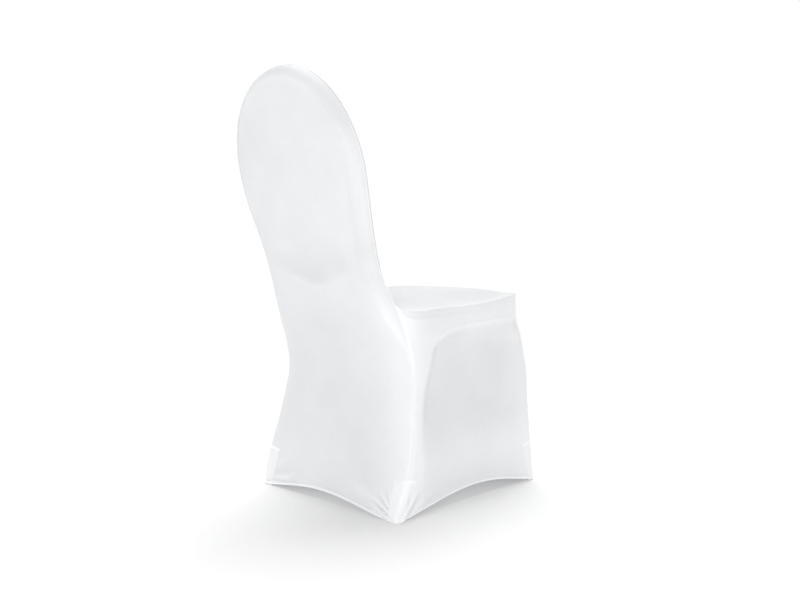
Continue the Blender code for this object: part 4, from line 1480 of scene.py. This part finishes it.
# %% The three seams
MIRROR = Vector((-1, 1, 1))
rear_side = [rear_seam_point(height) for height in rear_heights[:-1] + rim_heights]
rear_arch = [arch_place(-turn)[0] for turn in rim_turns]
rear_top = [station.point for station in arch_top(1)[1:]]
half = rear_side + rear_arch
other_half = [point * MIRROR for point in reversed(half)]
seam_ridge("seam_rear", half + rear_top + other_half[1:], away_from_middle)

side_line = [front_seam_point(height) for height in front_heights[:-1]]
side_line += [seat_seam_point(depth) for depth in seat_depths]
seam_ridge("seam_side_right", side_line, away_from_middle)
seam_ridge("seam_side_left", [point * MIRROR for point in side_line], away_from_middle)

# %% [markdown]
# ## Hem stitches
#
# A twin needle sews the hem with two rows of short straight stitches. Each stitch is a small
# six-sided bead, stretched along the row and sunk into the cloth, and all the stitches of a
# panel are one mesh. A texture could draw them, but real beads hold up in a close view.

# %% One stitch
STITCH_LENGTH = 0.0026
STITCH_WIDTH = 0.00045
HEM_STITCH_PITCH = 0.0036


def add_stitch(mesh, start, end, normal):
    """One bead between two points of a row."""
    way = (end - start).normalized()
    side = way.cross(normal).normalized()
    made = bmesh.ops.create_uvsphere(mesh, u_segments=6, v_segments=4, radius=1.0)
    middle = (start + end) / 2 + normal * (STITCH_WIDTH * 0.35)
    for vertex in made["verts"]:
        spot = vertex.co
        vertex.co = (middle + way * (spot.z * STITCH_LENGTH / 2) + side * (spot.x * STITCH_WIDTH)
                     + normal * (spot.y * STITCH_WIDTH))


print("a stitch is", round(STITCH_LENGTH * 1000, 1), "mm long")


# %% Stitching the hems
def row_line(panel, height):
    """The points and normals of the cloth along one height above the hem."""
    wanted = min(range(len(HEM_STEPS_MM)),
                 key=lambda row: abs(HEM_STEPS_MM[row] / 1000 - height))
    hem = hem_cloth[panel.name]
    return [hem[column][wanted] for column in sorted(hem) if wanted in hem[column]]


def stitch_line(mesh, line, pitch):
    """Stitches along a line of (point, normal) pairs."""
    points = even_points([point for point, normal in line], pitch)
    nearest = 0
    for start, end in zip(points, points[1:]):
        while (nearest < len(line) - 1
               and (line[nearest + 1][0] - start).length < (line[nearest][0] - start).length):
            nearest += 1
        way = (end - start) * 0.5 * (1 - STITCH_LENGTH / pitch)
        add_stitch(mesh, start + way, end - way, line[nearest][1])


def hem_stitches(panel):
    """All the stitches of one panel's hem, as one object."""
    mesh = bmesh.new()
    for height in HEM_STITCH_LINES:
        stitch_line(mesh, row_line(panel, height), HEM_STITCH_PITCH)
    name = panel.name.replace("cloth", "hem_stitches")
    item = mesh_object(name, mesh, thread)
    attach(item, "root")
    print(name, len(item.data.polygons), "faces")
    return item


stitches = {panel.name: hem_stitches(panel)
            for panel in (back_panel, front_panel, side_right, side_left)}

# %% [markdown]
# ## Floor and light
#
# The set is white on white: a pale floor that washes out to white under an even white sky.
# The cloth is a little darker than the floor, which is all that draws its outline. The sky is
# dimmer overhead, so cloth that turns up is a little darker than cloth that stands.
#
# One very wide sun, from beyond the cover, lays the soft shadow pool in front of it. A lamp
# by the camera brightens the edges that turn towards it. Thin white cloth also lets light
# through to the floor inside it. A translucent shader would do that, but with more noise, so
# a small lamp inside the cover stands for that light.

# %% Floor
FLOOR_RADIUS = 14.0
FLOOR_WHITE = 0.98

floor_mesh = bmesh.new()
bmesh.ops.create_circle(floor_mesh, cap_ends=True, segments=96, radius=FLOOR_RADIUS)
floor_data = bpy.data.meshes.new("floor")
floor_mesh.to_mesh(floor_data)
floor_mesh.free()
floor_paint = bpy.data.materials.new("floor_paint")
floor_paint.use_nodes = True
floor_shader = floor_paint.node_tree.nodes["Principled BSDF"]
floor_shader.inputs["Base Color"].default_value = (FLOOR_WHITE, FLOOR_WHITE, FLOOR_WHITE, 1.0)
floor_shader.inputs["Roughness"].default_value = 0.9
floor_shader.inputs["Specular IOR Level"].default_value = 0.1
floor_data.materials.append(floor_paint)
floor = put_in_scene("floor", floor_data)
print("the floor is", 2 * FLOOR_RADIUS, "m wide")

# %% Sky, brighter at the horizon than overhead
# SKY_TURNS are the heights on a sphere of one unit between which the sky changes
SKY_AT_HORIZON = 1.06
SKY_OVERHEAD = 0.32
SKY_TURNS = (0.24, 0.80)

sky = bpy.data.worlds.new("sky")
sky.use_nodes = True
sky_tree = sky.node_tree
background = sky_tree.nodes["Background"]
background.inputs["Color"].default_value = (1.0, 1.0, 1.0, 1.0)
way = node(sky_tree, "ShaderNodeTexCoord")
split = node(sky_tree, "ShaderNodeSeparateXYZ")
level = node(sky_tree, "ShaderNodeMapRange",
             {"From Min": SKY_TURNS[0], "From Max": SKY_TURNS[1],
              "To Min": SKY_AT_HORIZON, "To Max": SKY_OVERHEAD}, interpolation_type="SMOOTHSTEP")
join(sky_tree, way, "Generated", split, "Vector")
join(sky_tree, split, "Z", level, "Value")
join(sky_tree, level, "Result", background, "Strength")
bpy.context.scene.world = sky
bpy.context.scene.view_settings.view_transform = "Standard"
print("the sky falls from", SKY_AT_HORIZON, "to", SKY_OVERHEAD)

# %% Sun and lamps
SUN_STRENGTH = 1.75
SUN_WIDTH = math.radians(50)
SUN_WAY = Vector((0.8, -0.8, 2.6))
# A row holds: name, place, target, size in metres, watts
LAMPS = (
    ("lamp_by_camera", (-1.9, 2.2, 0.9), (0.0, 0.1, 0.45), 0.7, 17.5),
    ("lamp_through_cloth", (0.0, -0.06, 0.36), (0.0, -0.06, 0.0), 0.25, 0.32),
)

for name, place, target, size, watts in LAMPS:
    lamp_data = bpy.data.lights.new(name, "AREA")
    lamp_data.shape = "DISK"
    lamp_data.size = size
    lamp_data.energy = watts
    lamp = put_in_scene(name, lamp_data)
    lamp.location = place
    lamp.rotation_euler = turned_to(Vector(target) - Vector(place))
sun_data = bpy.data.lights.new("soft_sun", "SUN")
sun_data.energy = SUN_STRENGTH
sun_data.angle = SUN_WIDTH
sun = put_in_scene("soft_sun", sun_data)
sun.rotation_euler = turned_to(-SUN_WAY)
print("lamps", len(LAMPS) + 1)
